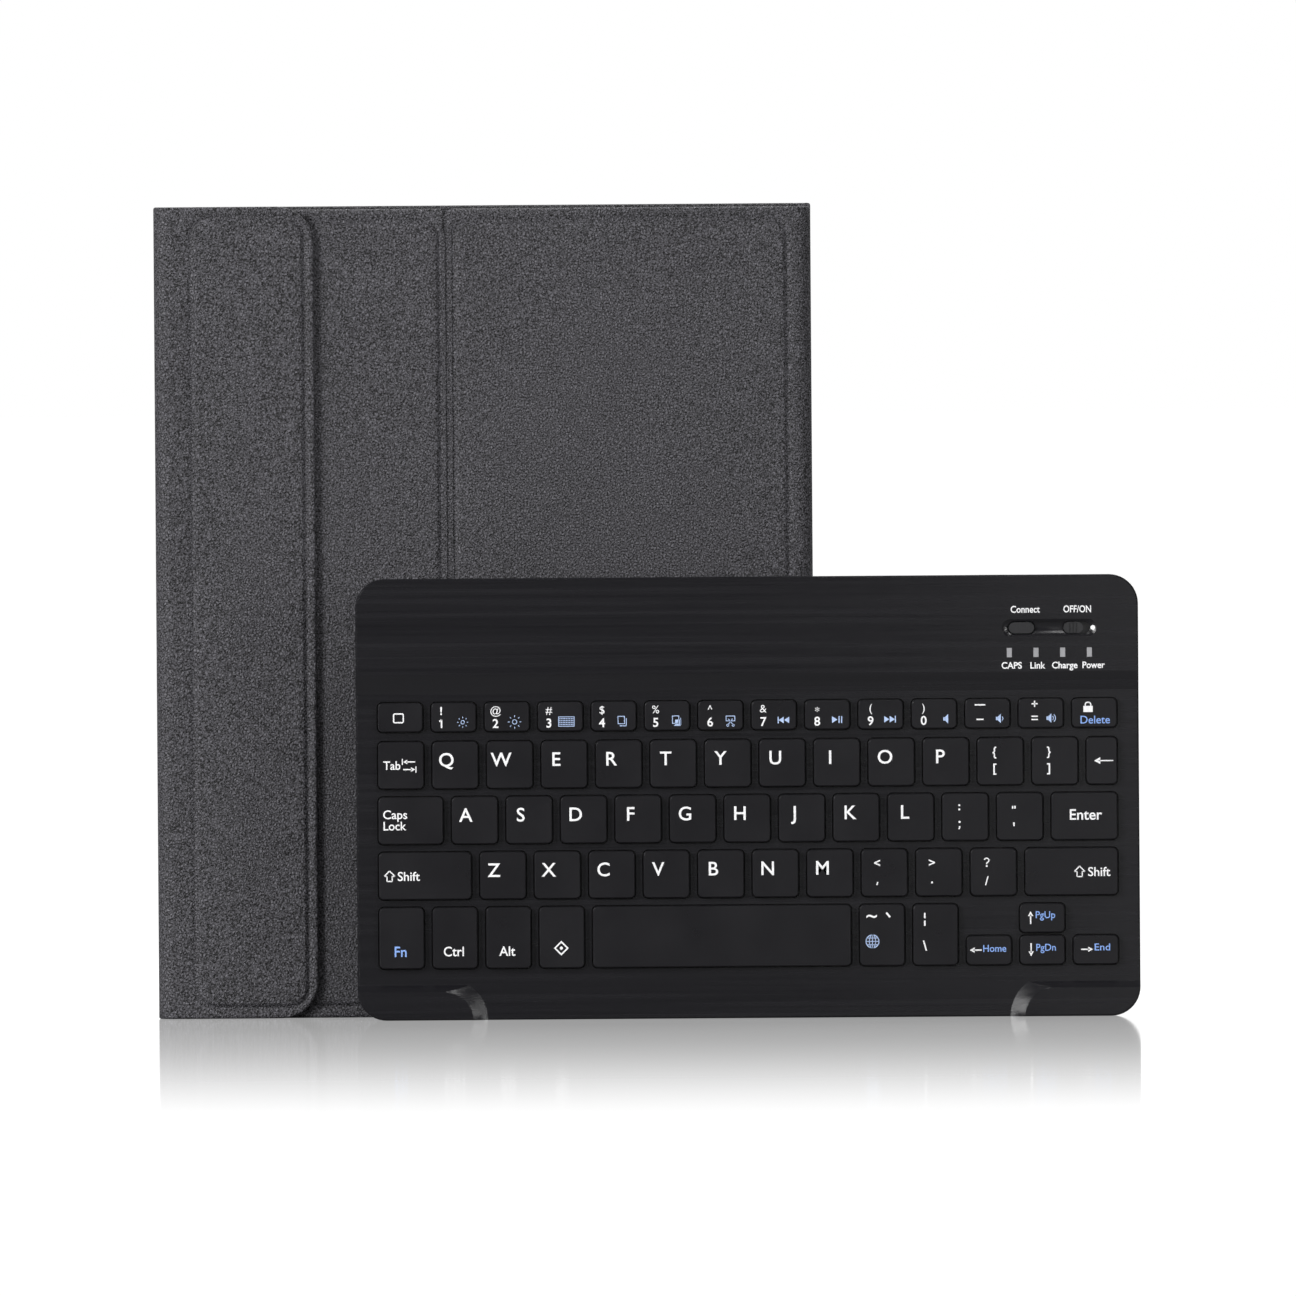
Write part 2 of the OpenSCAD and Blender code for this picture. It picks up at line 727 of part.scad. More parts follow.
module bosses() {
    for (p = screw_spots) translate([p[0], p[1], floor_t])
        cylinder(r = boss_r, h = (p[1] > ramp_start ? kb_ceiling : bed_ceiling) - floor_t + join);
}

module screw_holes(r) {
    for (p = screw_spots) translate([p[0], p[1], -1]) cylinder(r = r, h = bed_ceiling + 1);
}

module top_cover() {
    color(case_colour) on_keyboard() difference() {
        union() {
            difference() {
                union() {
                    kb_block(bed_t);
                    raised_band();
                    corner_rest();
                    translate([kb_w, 0, 0]) mirror([1, 0, 0]) corner_rest();
                }
                kb_cavity();
            }
            bosses();
            switch_plate();
        }
        translate([-1, -1, -1]) cube([kb_w + 2, kb_h + 2, split_t + 1]);
        translate([0, 0, split_t]) linear_extrude(kb_t) key_holes();
        screw_holes(screw_r + screw_clear);
        switch_openings();
        lens_spots(kb_ceiling - 1, kb_t);
        socket_hole();
    }
}

module bottom_cover() {
    color(case_colour) on_keyboard() difference() {
        translate([0, 0, split_t]) mirror([0, 0, 1])
            sloped_block(kb_w, kb_h, kb_corner, split_t, edge_chamfer, edge_chamfer);
        translate([side_t, side_t, floor_t]) linear_extrude(split_t)
            round_rect(kb_w - 2 * side_t, kb_h - 2 * side_t, kb_corner - side_t);
        screw_holes(screw_r + screw_clear);
        for (p = screw_spots) translate([p[0], p[1], -1])
            cylinder(r = screw_head_r + screw_clear, h = 1 + screw_head_t);
    }
}

module key_sheet(z, t) {
    on_keyboard() translate([field_x - board_margin, field_y - board_margin, z])
        cube([field_w + 2 * board_margin, field_top - field_y + 2 * board_margin, t]);
}

module key_plate() {
    color(metal_colour) key_sheet(floor_t, plate_t);
}

module membrane_sheet() {
    color("#d8d4c4") key_sheet(floor_t + plate_t, membrane_t);
}

module rubber_domes() {
    h = under_cap - stack_top;
    color("#e8e8e4") on_keyboard() for (k = all_keys)
        translate([k[0] + k[2] / 2, k[1] + k[3] / 2, stack_top]) difference() {
            cylinder(r1 = dome_r, r2 = dome_top_r, h = h);
            translate([0, 0, -join])
                cylinder(r1 = dome_r - dome_wall, r2 = dome_top_r - dome_wall, h = h - dome_wall);
        }
}

// One scissor clip: two frames that cross at mid height round the dome
module scissor_clip() {
    rise = under_cap - stack_top - clip_t - 0.3;
    tilt = atan(rise / clip_w);
    for (s = [-1, 1]) translate([0, 0, rise / 2 + clip_t / 2 + 0.1]) rotate([0, s * tilt, 0])
        difference() {
            grow = s > 0 ? 0 : 2 * clip_bar;
            cube([clip_w, clip_len - grow, clip_t], center = true);
            cube([clip_w - 2 * clip_bar, clip_len - grow - 2 * clip_bar, 2], center = true);
        }
}

module scissor_clips() {
    color("#cfcfca") on_keyboard() for (k = all_keys)
        translate([k[0] + k[2] / 2, k[1] + k[3] / 2, stack_top]) scissor_clip();
}

module circuit_board() {
    chip = 1.0;
    notch_r = boss_r + 0.3;
    color("#1f5c3a") on_keyboard() difference() {
        union() {
            translate([pcb_x, pcb_y, floor_t]) cube([pcb_w, pcb_h, pcb_t]);
            translate([pcb_x + 6, pcb_y + 6, pcb_top - join]) cube([7, 7, chip]);
            translate([pcb_x + 18, pcb_y + 5, pcb_top - join]) cube([4, 3, chip]);
            for (i = [-1.5:1.5]) translate([slot_x + i * lens_pitch - lens_w / 2,
                slot_y - lens_below - lens_w / 2, pcb_top - join]) cube([lens_w, lens_w, chip]);
        }
        for (p = screw_spots) translate([p[0], p[1], 0]) {
            cylinder(r = notch_r, h = kb_t);
            translate([-notch_r, 0, 0]) cube([2 * notch_r, boss_side, kb_t]);
        }
    }
}

module battery() {
    color("#8f9499") on_keyboard() translate([battery_x, kb_h - side_t - 5 - battery_h, floor_t])
        sloped_block(battery_w, battery_h, 2, battery_t, 0.5, 0.5);
}

module charging_socket() {
    color(metal_colour) on_keyboard() difference() {
        translate([socket_x, kb_h - 0.4, socket_z]) rotate([90, 0, 0])
            linear_extrude(socket_len) slot_shape(socket_w, socket_h);
        translate([socket_x, kb_h, socket_z]) rotate([90, 0, 0]) difference() {
            linear_extrude(socket_len - 1)
                slot_shape(socket_w - 2 * socket_wall, socket_h - 2 * socket_wall);
            translate([0, 0, socket_len / 2 + 1]) cube([socket_w - 2.4, 0.7, socket_len],
                center = true);
        }
    }
}

module slide_switch() {
    body_w = slider_w + slider_travel - 1;
    deep = 1.1;
    color(metal_colour) on_keyboard() translate([slider_x + slider_travel / 2, slot_y, pcb_top])
        difference() {
            translate([-body_w / 2, -button_h / 2, 0]) cube([body_w, button_h, switch_top - pcb_top]);
            translate([0, 0, switch_top - pcb_top]) cube([stem_w + slider_travel + 2 * switch_clear,
                stem_h + 2 * switch_clear, 2 * deep], center = true);
        }
}

module power_slider() {
    grip = 0.5;
    shield_w = slider_w + 2 * slider_travel + 1;
    under = slot_floor - slot_plate;
    color("#2c2c2f") on_keyboard() translate([slider_x, slot_y, 0]) union() {
        translate([0, 0, under - shield_t / 2]) difference() {
            linear_extrude(kb_t - 0.15 - under + shield_t / 2) slot_shape(slider_w, button_h);
            for (i = [-1:1]) translate([i * 2 * grip, 0, kb_t - under + shield_t / 2])
                cube([grip, button_h, 0.8], center = true);
        }
        translate([-shield_w / 2, -button_h / 2 - 0.5, under - shield_t - 0.15])
            cube([shield_w, button_h + 1, shield_t]);
        translate([-stem_w / 2, -stem_h / 2, switch_top - 0.8])
            cube([stem_w, stem_h, 1.1]);
    }
}

module connect_button() {
    color("#2c2c2f") on_keyboard() translate([button_x, slot_y, slot_floor - slot_plate])
        linear_extrude(slot_depth + slot_plate - 0.15) slot_shape(button_w, button_h);
}

module tact_switch() {
    gap = 0.7;
    color(metal_colour) on_keyboard() translate([button_x, slot_y, pcb_top]) union() {
        translate([-tact_w / 2, -button_h / 2, 0])
            cube([tact_w, button_h, slot_floor - slot_plate - pcb_top - 0.4 - gap]);
        cylinder(r = 1, h = slot_floor - slot_plate - pcb_top - gap);
    }
}

module indicator_lenses() {
    color("#8c9094") on_keyboard() lens_spots(kb_ceiling, kb_t - kb_ceiling - 0.05);
}

module rubber_feet() {
    color("#26262a") on_keyboard() for (p = foot_spots)
        translate([p[0], p[1], -foot_t]) cylinder(r1 = foot_r - 0.5, r2 = foot_r, h = foot_t);
}

module cover_screws() {
    color(metal_colour) on_keyboard() for (p = screw_spots) translate([p[0], p[1], 0])
        difference() {
            union() {
                cylinder(r = screw_head_r, h = screw_head_t);
                cylinder(r = screw_r, h = bed_ceiling - 0.4);
            }
            cube([2 * screw_head_r - 0.8, 0.4, 0.6], center = true);
            cube([0.4, 2 * screw_head_r - 0.8, 0.6], center = true);
        }
}

module keyboard_magnets() {
    color(metal_colour) on_keyboard() for (x = [bar_x, kb_w - bar_x])
        translate([x - bar_h / 2, bar_y - bar_w / 2, floor_t]) cube([bar_h, bar_w, bar_t]);
}

// ---------------------------------------------------------------- keys

module keycap(k) {
    skirt = key_top - cap_depth;
    color(key_colour) on_keyboard() translate([k[0], k[1], skirt]) difference() {
        sloped_block(k[2], k[3], cap_corner, cap_depth, cap_chamfer, cap_chamfer);
        translate([cap_wall, cap_wall, -1])
            cube([k[2] - 2 * cap_wall, k[3] - 2 * cap_wall, 1 + cap_depth - cap_wall]);
    }
}

module number_row_keys() { for (k = number_row) keycap(k); }
module upper_row_keys() { for (k = upper_row) keycap(k); }
module home_row_keys() { for (k = home_row) keycap(k); }
module lower_row_keys() { for (k = lower_row) keycap(k); }
module delete_key() { keycap(delete_at); }
module tab_key() { keycap(tab_at); }
module backspace_key() { keycap(backspace_at); }
module caps_key() { keycap(caps_at); }
module enter_key() { keycap(enter_at); }
module left_shift_key() { keycap(left_shift_at); }
module right_shift_key() { keycap(right_shift_at); }
module fn_key() { keycap(fn_at); }
module ctrl_key() { keycap(ctrl_at); }
module alt_key() { keycap(alt_at); }
module command_key() { keycap(command_at); }
module space_key() { keycap(space_at); }
module globe_key() { keycap(globe_at); }
module backslash_key() { keycap(backslash_at); }
module left_key() { keycap(left_at); }
module down_key() { keycap(down_at); }
module right_key() { keycap(right_at); }
module up_key() { keycap(up_at); }

prop_leather();
prop_board();
back_leather();
back_board();
fold_crease();
tablet_shell();
latch_plates();
spine_leather();
spine_board();
spine_front_bend();
spine_rear_bend();
cover_leather();
cover_board();
cover_lining();
cover_magnets();
strip_leather();
strip_rear_bend();
strip_front_bend();
flap_leather();
flap_board();
flap_magnets();
top_cover();
bottom_cover();
key_plate();
membrane_sheet();
rubber_domes();
scissor_clips();
circuit_board();
battery();
charging_socket();
slide_switch();
power_slider();
connect_button();
tact_switch();
indicator_lenses();
rubber_feet();
cover_screws();
keyboard_magnets();
number_row_keys();
upper_row_keys();
home_row_keys();
lower_row_keys();
delete_key();
tab_key();
backspace_key();
caps_key();
enter_key();
left_shift_key();
right_shift_key();
fn_key();
ctrl_key();
alt_key();
command_key();
space_key();
globe_key();
backslash_key();
left_key();
down_key();
right_key();
up_key();
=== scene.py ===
import json
import math

import bpy
import bmesh
from mathutils import Matrix, Vector, noise


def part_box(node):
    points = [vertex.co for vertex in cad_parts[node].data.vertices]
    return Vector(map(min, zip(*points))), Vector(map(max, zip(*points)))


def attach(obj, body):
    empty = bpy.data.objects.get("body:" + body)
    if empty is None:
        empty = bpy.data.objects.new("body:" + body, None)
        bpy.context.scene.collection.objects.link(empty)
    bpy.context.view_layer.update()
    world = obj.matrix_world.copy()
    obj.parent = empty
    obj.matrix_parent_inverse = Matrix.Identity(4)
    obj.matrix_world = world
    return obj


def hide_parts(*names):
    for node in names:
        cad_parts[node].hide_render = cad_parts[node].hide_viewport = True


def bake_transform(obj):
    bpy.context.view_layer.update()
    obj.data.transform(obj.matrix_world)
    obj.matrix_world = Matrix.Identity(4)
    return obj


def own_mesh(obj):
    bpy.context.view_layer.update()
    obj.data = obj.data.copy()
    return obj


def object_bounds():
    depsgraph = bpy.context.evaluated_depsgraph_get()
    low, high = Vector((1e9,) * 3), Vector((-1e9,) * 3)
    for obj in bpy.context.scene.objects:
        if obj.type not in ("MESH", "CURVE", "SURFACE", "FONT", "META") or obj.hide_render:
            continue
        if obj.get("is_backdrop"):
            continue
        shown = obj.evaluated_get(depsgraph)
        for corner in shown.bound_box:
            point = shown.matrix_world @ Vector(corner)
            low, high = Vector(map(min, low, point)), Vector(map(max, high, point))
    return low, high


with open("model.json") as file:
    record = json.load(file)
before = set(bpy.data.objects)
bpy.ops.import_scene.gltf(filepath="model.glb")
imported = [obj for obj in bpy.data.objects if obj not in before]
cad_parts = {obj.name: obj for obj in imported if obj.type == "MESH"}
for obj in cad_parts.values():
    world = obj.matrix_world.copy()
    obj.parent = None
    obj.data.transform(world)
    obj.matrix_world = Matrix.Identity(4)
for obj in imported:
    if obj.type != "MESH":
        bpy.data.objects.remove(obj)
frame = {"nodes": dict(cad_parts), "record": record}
cad_lo, cad_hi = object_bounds()
MM = 0.001
collection = bpy.context.scene.collection

# ------------------------------------------------------------------ materials
# Texture scales are cells to the metre, and bump distances are in metres.


def new_material(name, colour, rough, metal=0.0, spec=0.5, coat=0.0, sheen=0.0):
    m = bpy.data.materials.new(name)
    m.use_nodes = True
    m.diffuse_color = (*colour, 1)
    nt = m.node_tree
    b = nt.nodes["Principled BSDF"]
    for k, v in (("Base Color", (*colour, 1)), ("Roughness", rough), ("Metallic", metal),
                 ("Specular IOR Level", spec), ("Coat Weight", coat), ("Coat Roughness", 0.2),
                 ("Sheen Weight", sheen), ("Sheen Roughness", 0.5)):
        b.inputs[k].default_value = v
    return m, nt, b


def node(nt, kind, **values):
    """A new node, each value set on its input or its property of that name."""
    n = nt.nodes.new(kind)
    for k, v in values.items():
        if k in n.inputs:
            n.inputs[k].default_value = v
        else:
            setattr(n, k, v)
    return n


def coords(nt, stretch=(1, 1, 1)):
    c = node(nt, "ShaderNodeTexCoord")
    if stretch == (1, 1, 1):
        return c.outputs["Object"]
    m = node(nt, "ShaderNodeMapping")
    m.inputs["Scale"].default_value = stretch
    nt.links.new(c.outputs["Object"], m.inputs["Vector"])
    return m.outputs["Vector"]


def spread(nt, value, lo, hi, a=0.0, b=1.0, how="LINEAR"):
    """Maps a value from a..b to lo..hi."""
    r = node(nt, "ShaderNodeMapRange", interpolation_type=how)
    for k, v in (("From Min", a), ("From Max", b), ("To Min", lo), ("To Max", hi)):
        r.inputs[k].default_value = v
    nt.links.new(value, r.inputs["Value"])
    return r.outputs["Result"]


def tinted(nt, b, colour, factors):
    """Base colour times each factor in turn."""
    last = None
    for f in factors:
        mix = node(nt, "ShaderNodeMix", data_type="RGBA", blend_type="MULTIPLY")
        mix.inputs[0].default_value = 1.0
        if last is None:
            mix.inputs[6].default_value = (*colour, 1)
        else:
            nt.links.new(last, mix.inputs[6])
        nt.links.new(f, mix.inputs[7])
        last = mix.outputs[2]
    nt.links.new(last, b.inputs["Base Color"])


def bumped(nt, b, layers):
    """Adds bump layers of (height socket, distance in metres), one on another."""
    last = None
    for height, distance in layers:
        n = node(nt, "ShaderNodeBump", Strength=1.0, Distance=distance)
        nt.links.new(height, n.inputs["Height"])
        if last is not None:
            nt.links.new(last, n.inputs["Normal"])
        last = n.outputs["Normal"]
    nt.links.new(last, b.inputs["Normal"])


def noise_of(nt, vec, scale, detail=2.0, rough=0.5):
    n = node(nt, "ShaderNodeTexNoise", Scale=scale, Detail=detail, Roughness=rough)
    nt.links.new(vec, n.inputs["Vector"])
    return n.outputs["Fac"]


def around(nt, value, tone):
    """Maps the middle part of a noise to 1 - tone .. 1 + tone."""
    return spread(nt, value, 1 - tone, 1 + tone, 0.3, 0.7)


def leather(name, colour, rough=0.55):
    """Fine pebble-grained artificial leather, the pebbles about 1 mm across."""
    m, nt, b = new_material(name, colour, rough, spec=0.42)
    vec = coords(nt)
    warp = node(nt, "ShaderNodeTexNoise", Scale=420.0, Detail=1.0)
    nt.links.new(vec, warp.inputs["Vector"])
    moved = node(nt, "ShaderNodeVectorMath", operation="MULTIPLY_ADD")
    nt.links.new(warp.outputs["Color"], moved.inputs[0])
    moved.inputs[1].default_value = (0.0011,) * 3
    nt.links.new(vec, moved.inputs[2])
    cells = node(nt, "ShaderNodeTexVoronoi", feature="DISTANCE_TO_EDGE", Scale=1000.0)
    nt.links.new(moved.outputs["Vector"], cells.inputs["Vector"])
    pebble = spread(nt, cells.outputs["Distance"], 0.0, 1.0, 0.0, 0.28)
    fine = noise_of(nt, vec, 3600.0, 3.0, 0.6)
    broad = noise_of(nt, vec, 26.0, 3.0, 0.55)
    patch = noise_of(nt, vec, 240.0, 2.0)
    speck = noise_of(nt, vec, 2000.0, 0.0, 0.4)
    tinted(nt, b, colour, [spread(nt, pebble, 0.6, 1.12), around(nt, broad, 0.04),
                           around(nt, patch, 0.04), spread(nt, speck, 0.1, 2.1, 0.28, 0.72)])
    nt.links.new(spread(nt, pebble, rough + 0.14, rough - 0.05), b.inputs["Roughness"])
    bumped(nt, b, [(broad, 0.0008), (pebble, 0.00016), (fine, 0.00004)])
    return m


def moulded(name, colour, rough, grain=2600.0, depth=0.00002, spec=0.5, coat=0.0):
    """Moulded plastic with a fine even texture."""
    m, nt, b = new_material(name, colour, rough, spec=spec, coat=coat)
    vec = coords(nt)
    fine = noise_of(nt, vec, grain, 2.0, 0.55)
    broad = noise_of(nt, vec, 60.0, 3.0)
    tinted(nt, b, colour, [around(nt, broad, 0.06)])
    nt.links.new(spread(nt, broad, rough - 0.04, rough + 0.05, 0.3, 0.7), b.inputs["Roughness"])
    bumped(nt, b, [(fine, depth)])
    return m


def brushed(name, colour, rough, metal=0.0, tone=0.15):
    """Fine straight brushing along X."""
    m, nt, b = new_material(name, colour, rough, metal=metal)
    along, deep, across = 16, 900, 5200     # texture scales in X, Y and Z
    lines = noise_of(nt, coords(nt, (along, deep, across)), 1.0, 3.0, 0.65)
    wide = noise_of(nt, coords(nt, (along / 3, deep / 8, across / 8)), 1.0, 3.0, 0.6)
    cloud = noise_of(nt, coords(nt), 22.0, 2.0)
    tinted(nt, b, colour, [around(nt, lines, tone), around(nt, wide, tone)])
    nt.links.new(spread(nt, wide, rough - 0.08, rough + 0.1, 0.3, 0.7), b.inputs["Roughness"])
    bumped(nt, b, [(lines, 0.00003), (cloud, 0.0003)])
    return m


def fibrous(name, colour, rough=0.9):
    """Pressed board or short-nap microfibre."""
    m, nt, b = new_material(name, colour, rough, spec=0.2, sheen=0.25)
    fibre = noise_of(nt, coords(nt, (1, 1, 0.55)), 2300.0, 5.0, 0.75)
    nap = noise_of(nt, coords(nt), 45.0, 3.0)
    tinted(nt, b, colour, [around(nt, fibre, 0.28), around(nt, nap, 0.12)])
    bumped(nt, b, [(fibre, 0.00009), (nap, 0.0004)])
    return m


def ink(name, colour):
    """Slightly worn printing ink."""
    m, nt, b = new_material(name, colour, 0.5, spec=0.3)
    wear = noise_of(nt, coords(nt), 900.0, 2.0)
    tinted(nt, b, colour, [spread(nt, wear, 0.9, 1.06, 0.3, 0.7)])
    return m


LEATHER = leather("grained_leather", (0.058, 0.0565, 0.0635))
EDGE = leather("leather_edge", (0.043, 0.042, 0.046), 0.6)
LINING = fibrous("microfibre_lining", (0.055, 0.055, 0.06))
BOARD = fibrous("pressed_board", (0.30, 0.26, 0.21))
SHELL = moulded("shell_plastic", (0.017, 0.017, 0.019), 0.42, 1500.0, 0.00003)
CASE = brushed("brushed_case", (0.0096, 0.0093, 0.0114), 0.22)
BASE = moulded("base_plastic", (0.014, 0.014, 0.0155), 0.5, 1900.0, 0.00004)
KEY = moulded("key_plastic", (0.0102, 0.0098, 0.0118), 0.31, 3000.0, 0.00001, spec=0.42)
SWITCH = moulded("switch_plastic", (0.03, 0.03, 0.032), 0.28, 2000.0, 0.00001)
LENS = moulded("lens_plastic", (0.36, 0.36, 0.375), 0.3, 1200.0, 0.00001, coat=0.4)
STEEL = brushed("plate_steel", (0.5, 0.51, 0.52), 0.34, metal=1.0, tone=0.06)
SCREW = brushed("screw_steel", (0.2, 0.2, 0.21), 0.3, metal=1.0, tone=0.06)
MAGNET = brushed("magnet_steel", (0.56, 0.56, 0.57), 0.28, metal=1.0, tone=0.04)
FILM = moulded("membrane_film", (0.06, 0.058, 0.055), 0.35)
SILICONE = moulded("dome_silicone", (0.7, 0.7, 0.67), 0.45)
CLIP = moulded("clip_plastic", (0.55, 0.55, 0.52), 0.42)
LAMINATE = moulded("circuit_laminate", (0.02, 0.11, 0.055), 0.32)
FOIL = brushed("battery_foil", (0.45, 0.46, 0.48), 0.4, metal=0.8, tone=0.05)
RUBBER = moulded("foot_rubber", (0.022, 0.022, 0.024), 0.75, 1400.0, 0.00005)
# The white ink also paints a highlight in the switch scoop
WHITE = ink("white_ink_and_painted_highlight", (0.97, 0.97, 0.98))
BLUE = ink("blue_ink", (0.28, 0.46, 0.92))
PALE = ink("pale_blue_ink", (0.5, 0.64, 0.93))

OF_SLOT = {
    "folio_leather": LEATHER, "stiffening_board": BOARD, "lining_fabric": LINING,
    "shell_plastic": SHELL, "magnet_steel": MAGNET, "case_plastic": CASE,
    "key_plastic": KEY, "plate_steel": STEEL, "membrane_film": FILM,
    "dome_rubber": SILICONE, "clip_plastic": CLIP, "circuit_laminate": LAMINATE,
    "battery_foil": FOIL, "switch_plastic": SWITCH, "lens_plastic": LENS,
    "foot_rubber": RUBBER, "screw_steel": SCREW,
}
slot_of = {s["node"]: s["material_slot"] for s in frame["record"]["subparts"]}


def cad(name):
    return frame["nodes"][name]


for name, slot in slot_of.items():
    o = cad(name)
    o.data.materials.clear()
    o.data.materials.append(BASE if name == "bottom_cover" else OF_SLOT[slot])


def soften(name, width, segments=2):
    """Rounds a rigid CAD part's sharp edges a little."""
    o = cad(name)
    w = o.modifiers.new("weld", "WELD")
    w.merge_threshold = 1e-6
    b = o.modifiers.new("soft_edges", "BEVEL")
    b.width = width
    b.segments = segments
    b.limit_method = "ANGLE"
    b.angle_limit = math.radians(40)
    b.use_clamp_overlap = True
    b.harden_normals = True


KEY_NODES = [n for n in frame["nodes"] if n.endswith(("_keys", "_key"))]
for name in KEY_NODES:
    soften(name, 0.12 * MM)
for name in ("bottom_cover", "tablet_shell", "power_slider", "connect_button"):
    soften(name, 0.1 * MM)
soften("top_cover", 0.22 * MM, 3)

# ------------------------------------------------------------------ mesh helpers


ROUND = 8           # segments in each round corner


def finish_mesh(name, verts, faces, mats, face_mats=None, smooth=35):
    """An object of these faces, smooth where they meet at less than `smooth` degrees."""
    me = bpy.data.meshes.new(name)
    me.from_pydata([tuple(v) for v in verts], [], faces)
    for m in mats:
        me.materials.append(m)
    if face_mats:
        me.polygons.foreach_set("material_index", face_mats)
    bm = bmesh.new()
    bm.from_mesh(me)
    bmesh.ops.remove_doubles(bm, verts=bm.verts, dist=1e-7)
    bmesh.ops.recalc_face_normals(bm, faces=bm.faces)
    bm.to_mesh(me)
    bm.free()
    me.polygons.foreach_set("use_smooth", [True] * len(me.polygons))
    me.set_sharp_from_angle(angle=math.radians(smooth))
    o = bpy.data.objects.new(name, me)
    collection.objects.link(o)
    return o


def ellipse(x, y, rx, ry, n):
    return [(x + rx * math.cos(2 * math.pi * i / n), y + ry * math.sin(2 * math.pi * i / n))
            for i in range(n)]


def rect_loop(x0, x1, z0, z1, radii, nx, nz, nc=ROUND):
    """Points round a round-cornered rectangle, from the middle of its lower left corner."""
    bl, br, tr, tl = radii
    arcs = []
    for cx, cz, r, a in ((x0 + bl, z0 + bl, bl, 180), (x1 - br, z0 + br, br, 270),
                         (x1 - tr, z1 - tr, tr, 0), (x0 + tl, z1 - tl, tl, 90)):
        arcs.append([(cx + r * math.cos(math.radians(a + 90 * i / nc)),
                      cz + r * math.sin(math.radians(a + 90 * i / nc))) for i in range(nc + 1)])
    out = []
    for i in range(4):
        out += arcs[i]
        (ax, az), (bx, bz) = arcs[i][-1], arcs[(i + 1) % 4][0]
        n = (nx, nz)[i % 2]
        out += [(ax + (bx - ax) * k / n, az + (bz - az) * k / n) for k in range(1, n)]
    return out[nc // 2:] + out[:nc // 2]


def fill(loop, a, b):
    """Interior points of a loop whose sides have a and b segments, as a Coons patch."""
    bottom, right = loop[:a + 1], loop[a:a + b + 1]
    top = loop[a + b:2 * a + b + 1][::-1]
    left = (loop[2 * a + b:] + loop[:1])[::-1]
    c00, c10, c01, c11 = bottom[0], bottom[-1], top[0], top[-1]
    rows = []
    for j in range(1, b):
        v = j / b
        row = []
        for i in range(1, a):
            u = i / a
            row.append(tuple(
                (1 - v) * bottom[i][k] + v * top[i][k] + (1 - u) * left[j][k] + u * right[j][k]
                - (1 - u) * (1 - v) * c00[k] - u * (1 - v) * c10[k]
                - (1 - u) * v * c01[k] - u * v * c11[k] for k in (0, 1)))
        rows.append(row)
    return rows


def stack(name, levels, place, mats, nx, nz, relief):
    """A closed skin: round-cornered loops from the back's middle, round the rim, to the front's.
    Each level is (x0, x1, z0, z1, radii, depth, material). relief(a, b, depth) adds to the depth."""
    verts, faces, fmats = [], [], []
    a, b = nx + ROUND, nz + ROUND

    def put(p, d):
        verts.append(place(p[0], p[1], d + relief(p[0], p[1], d)))
        return len(verts) - 1

    loops = [[put(p, level[5]) for p in rect_loop(*level[:5], nx, nz)] for level in levels]
    n = 2 * (a + b)
    for l0, l1, level in zip(loops, loops[1:], levels[1:]):
        for i in range(n):
            j = (i + 1) % n
            faces.append((l0[i], l0[j], l1[j], l1[i]))
            fmats.append(level[6])
    for ring, level in ((loops[0], levels[0]), (loops[-1], levels[-1])):
        inner = [[put(p, level[5]) for p in row]
                 for row in fill(rect_loop(*level[:5], nx, nz), a, b)]

        def at(i, j):
            if j == 0:
                return ring[i]
            if j == b:
                return ring[2 * a + b - i]
            if i == 0:
                return ring[(2 * a + 2 * b - j) % n]
            if i == a:
                return ring[a + j]
            return inner[j - 1][i - 1]

        for j in range(b):
            for i in range(a):
                faces.append((at(i, j), at(i + 1, j), at(i + 1, j + 1), at(i, j + 1)))
                fmats.append(level[6])
    return finish_mesh(name, verts, faces, mats, fmats)


def smoothstep(t):
    t = min(1.0, max(0.0, t))
    return t * t * (3 - 2 * t)


def waves(seed, size=0.09 * MM, length=0.045):
    """A slight unevenness, as soft leather over a board has."""
    off = Vector((seed * 3.7, seed * 1.3, seed * 2.1))

    def f(a, b):
        return size * noise.noise(Vector((a, b, 0)) / length + off)
    return f


# ------------------------------------------------------------------ under the keys

# The domes and clips are cut into a piece under each key
HAIR = 0.03 * MM    # they end this short of the cap, so that the two don't share a surface


def under_keys(part):
    """Splits the part into a piece for each key."""
    lo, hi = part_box(part)
    tall = hi.y - lo.y
    me = cad(part).data
    for key in KEY_NODES:
        klo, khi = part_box(key)
        faces = [tuple(f.vertices) for f in me.polygons
                 if klo.x < f.center.x < khi.x and klo.z < f.center.z < khi.z]
        used = sorted({i for f in faces for i in f})
        at = {i: n for n, i in enumerate(used)}
        verts = []
        for i in used:
            x, y, z = me.vertices[i].co
            verts.append((x, hi.y + (y - hi.y) * (1 - HAIR / tall), z))
        o = finish_mesh(f"{part}_of_{key}", verts, [tuple(at[i] for i in f) for f in faces],
                        [OF_SLOT[slot_of[part]]])
        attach(o, "keyboard")
        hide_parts(part)
        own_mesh(o)


under_keys("rubber_domes")
under_keys("scissor_clips")

# ------------------------------------------------------------------ leather panels

PAD = 0.5 * MM      # rise of the pads
GROOVE = 0.36 * MM  # depth of the pressed line round them
FACE, BACK, RIM = 0, 1, 2   # their materials


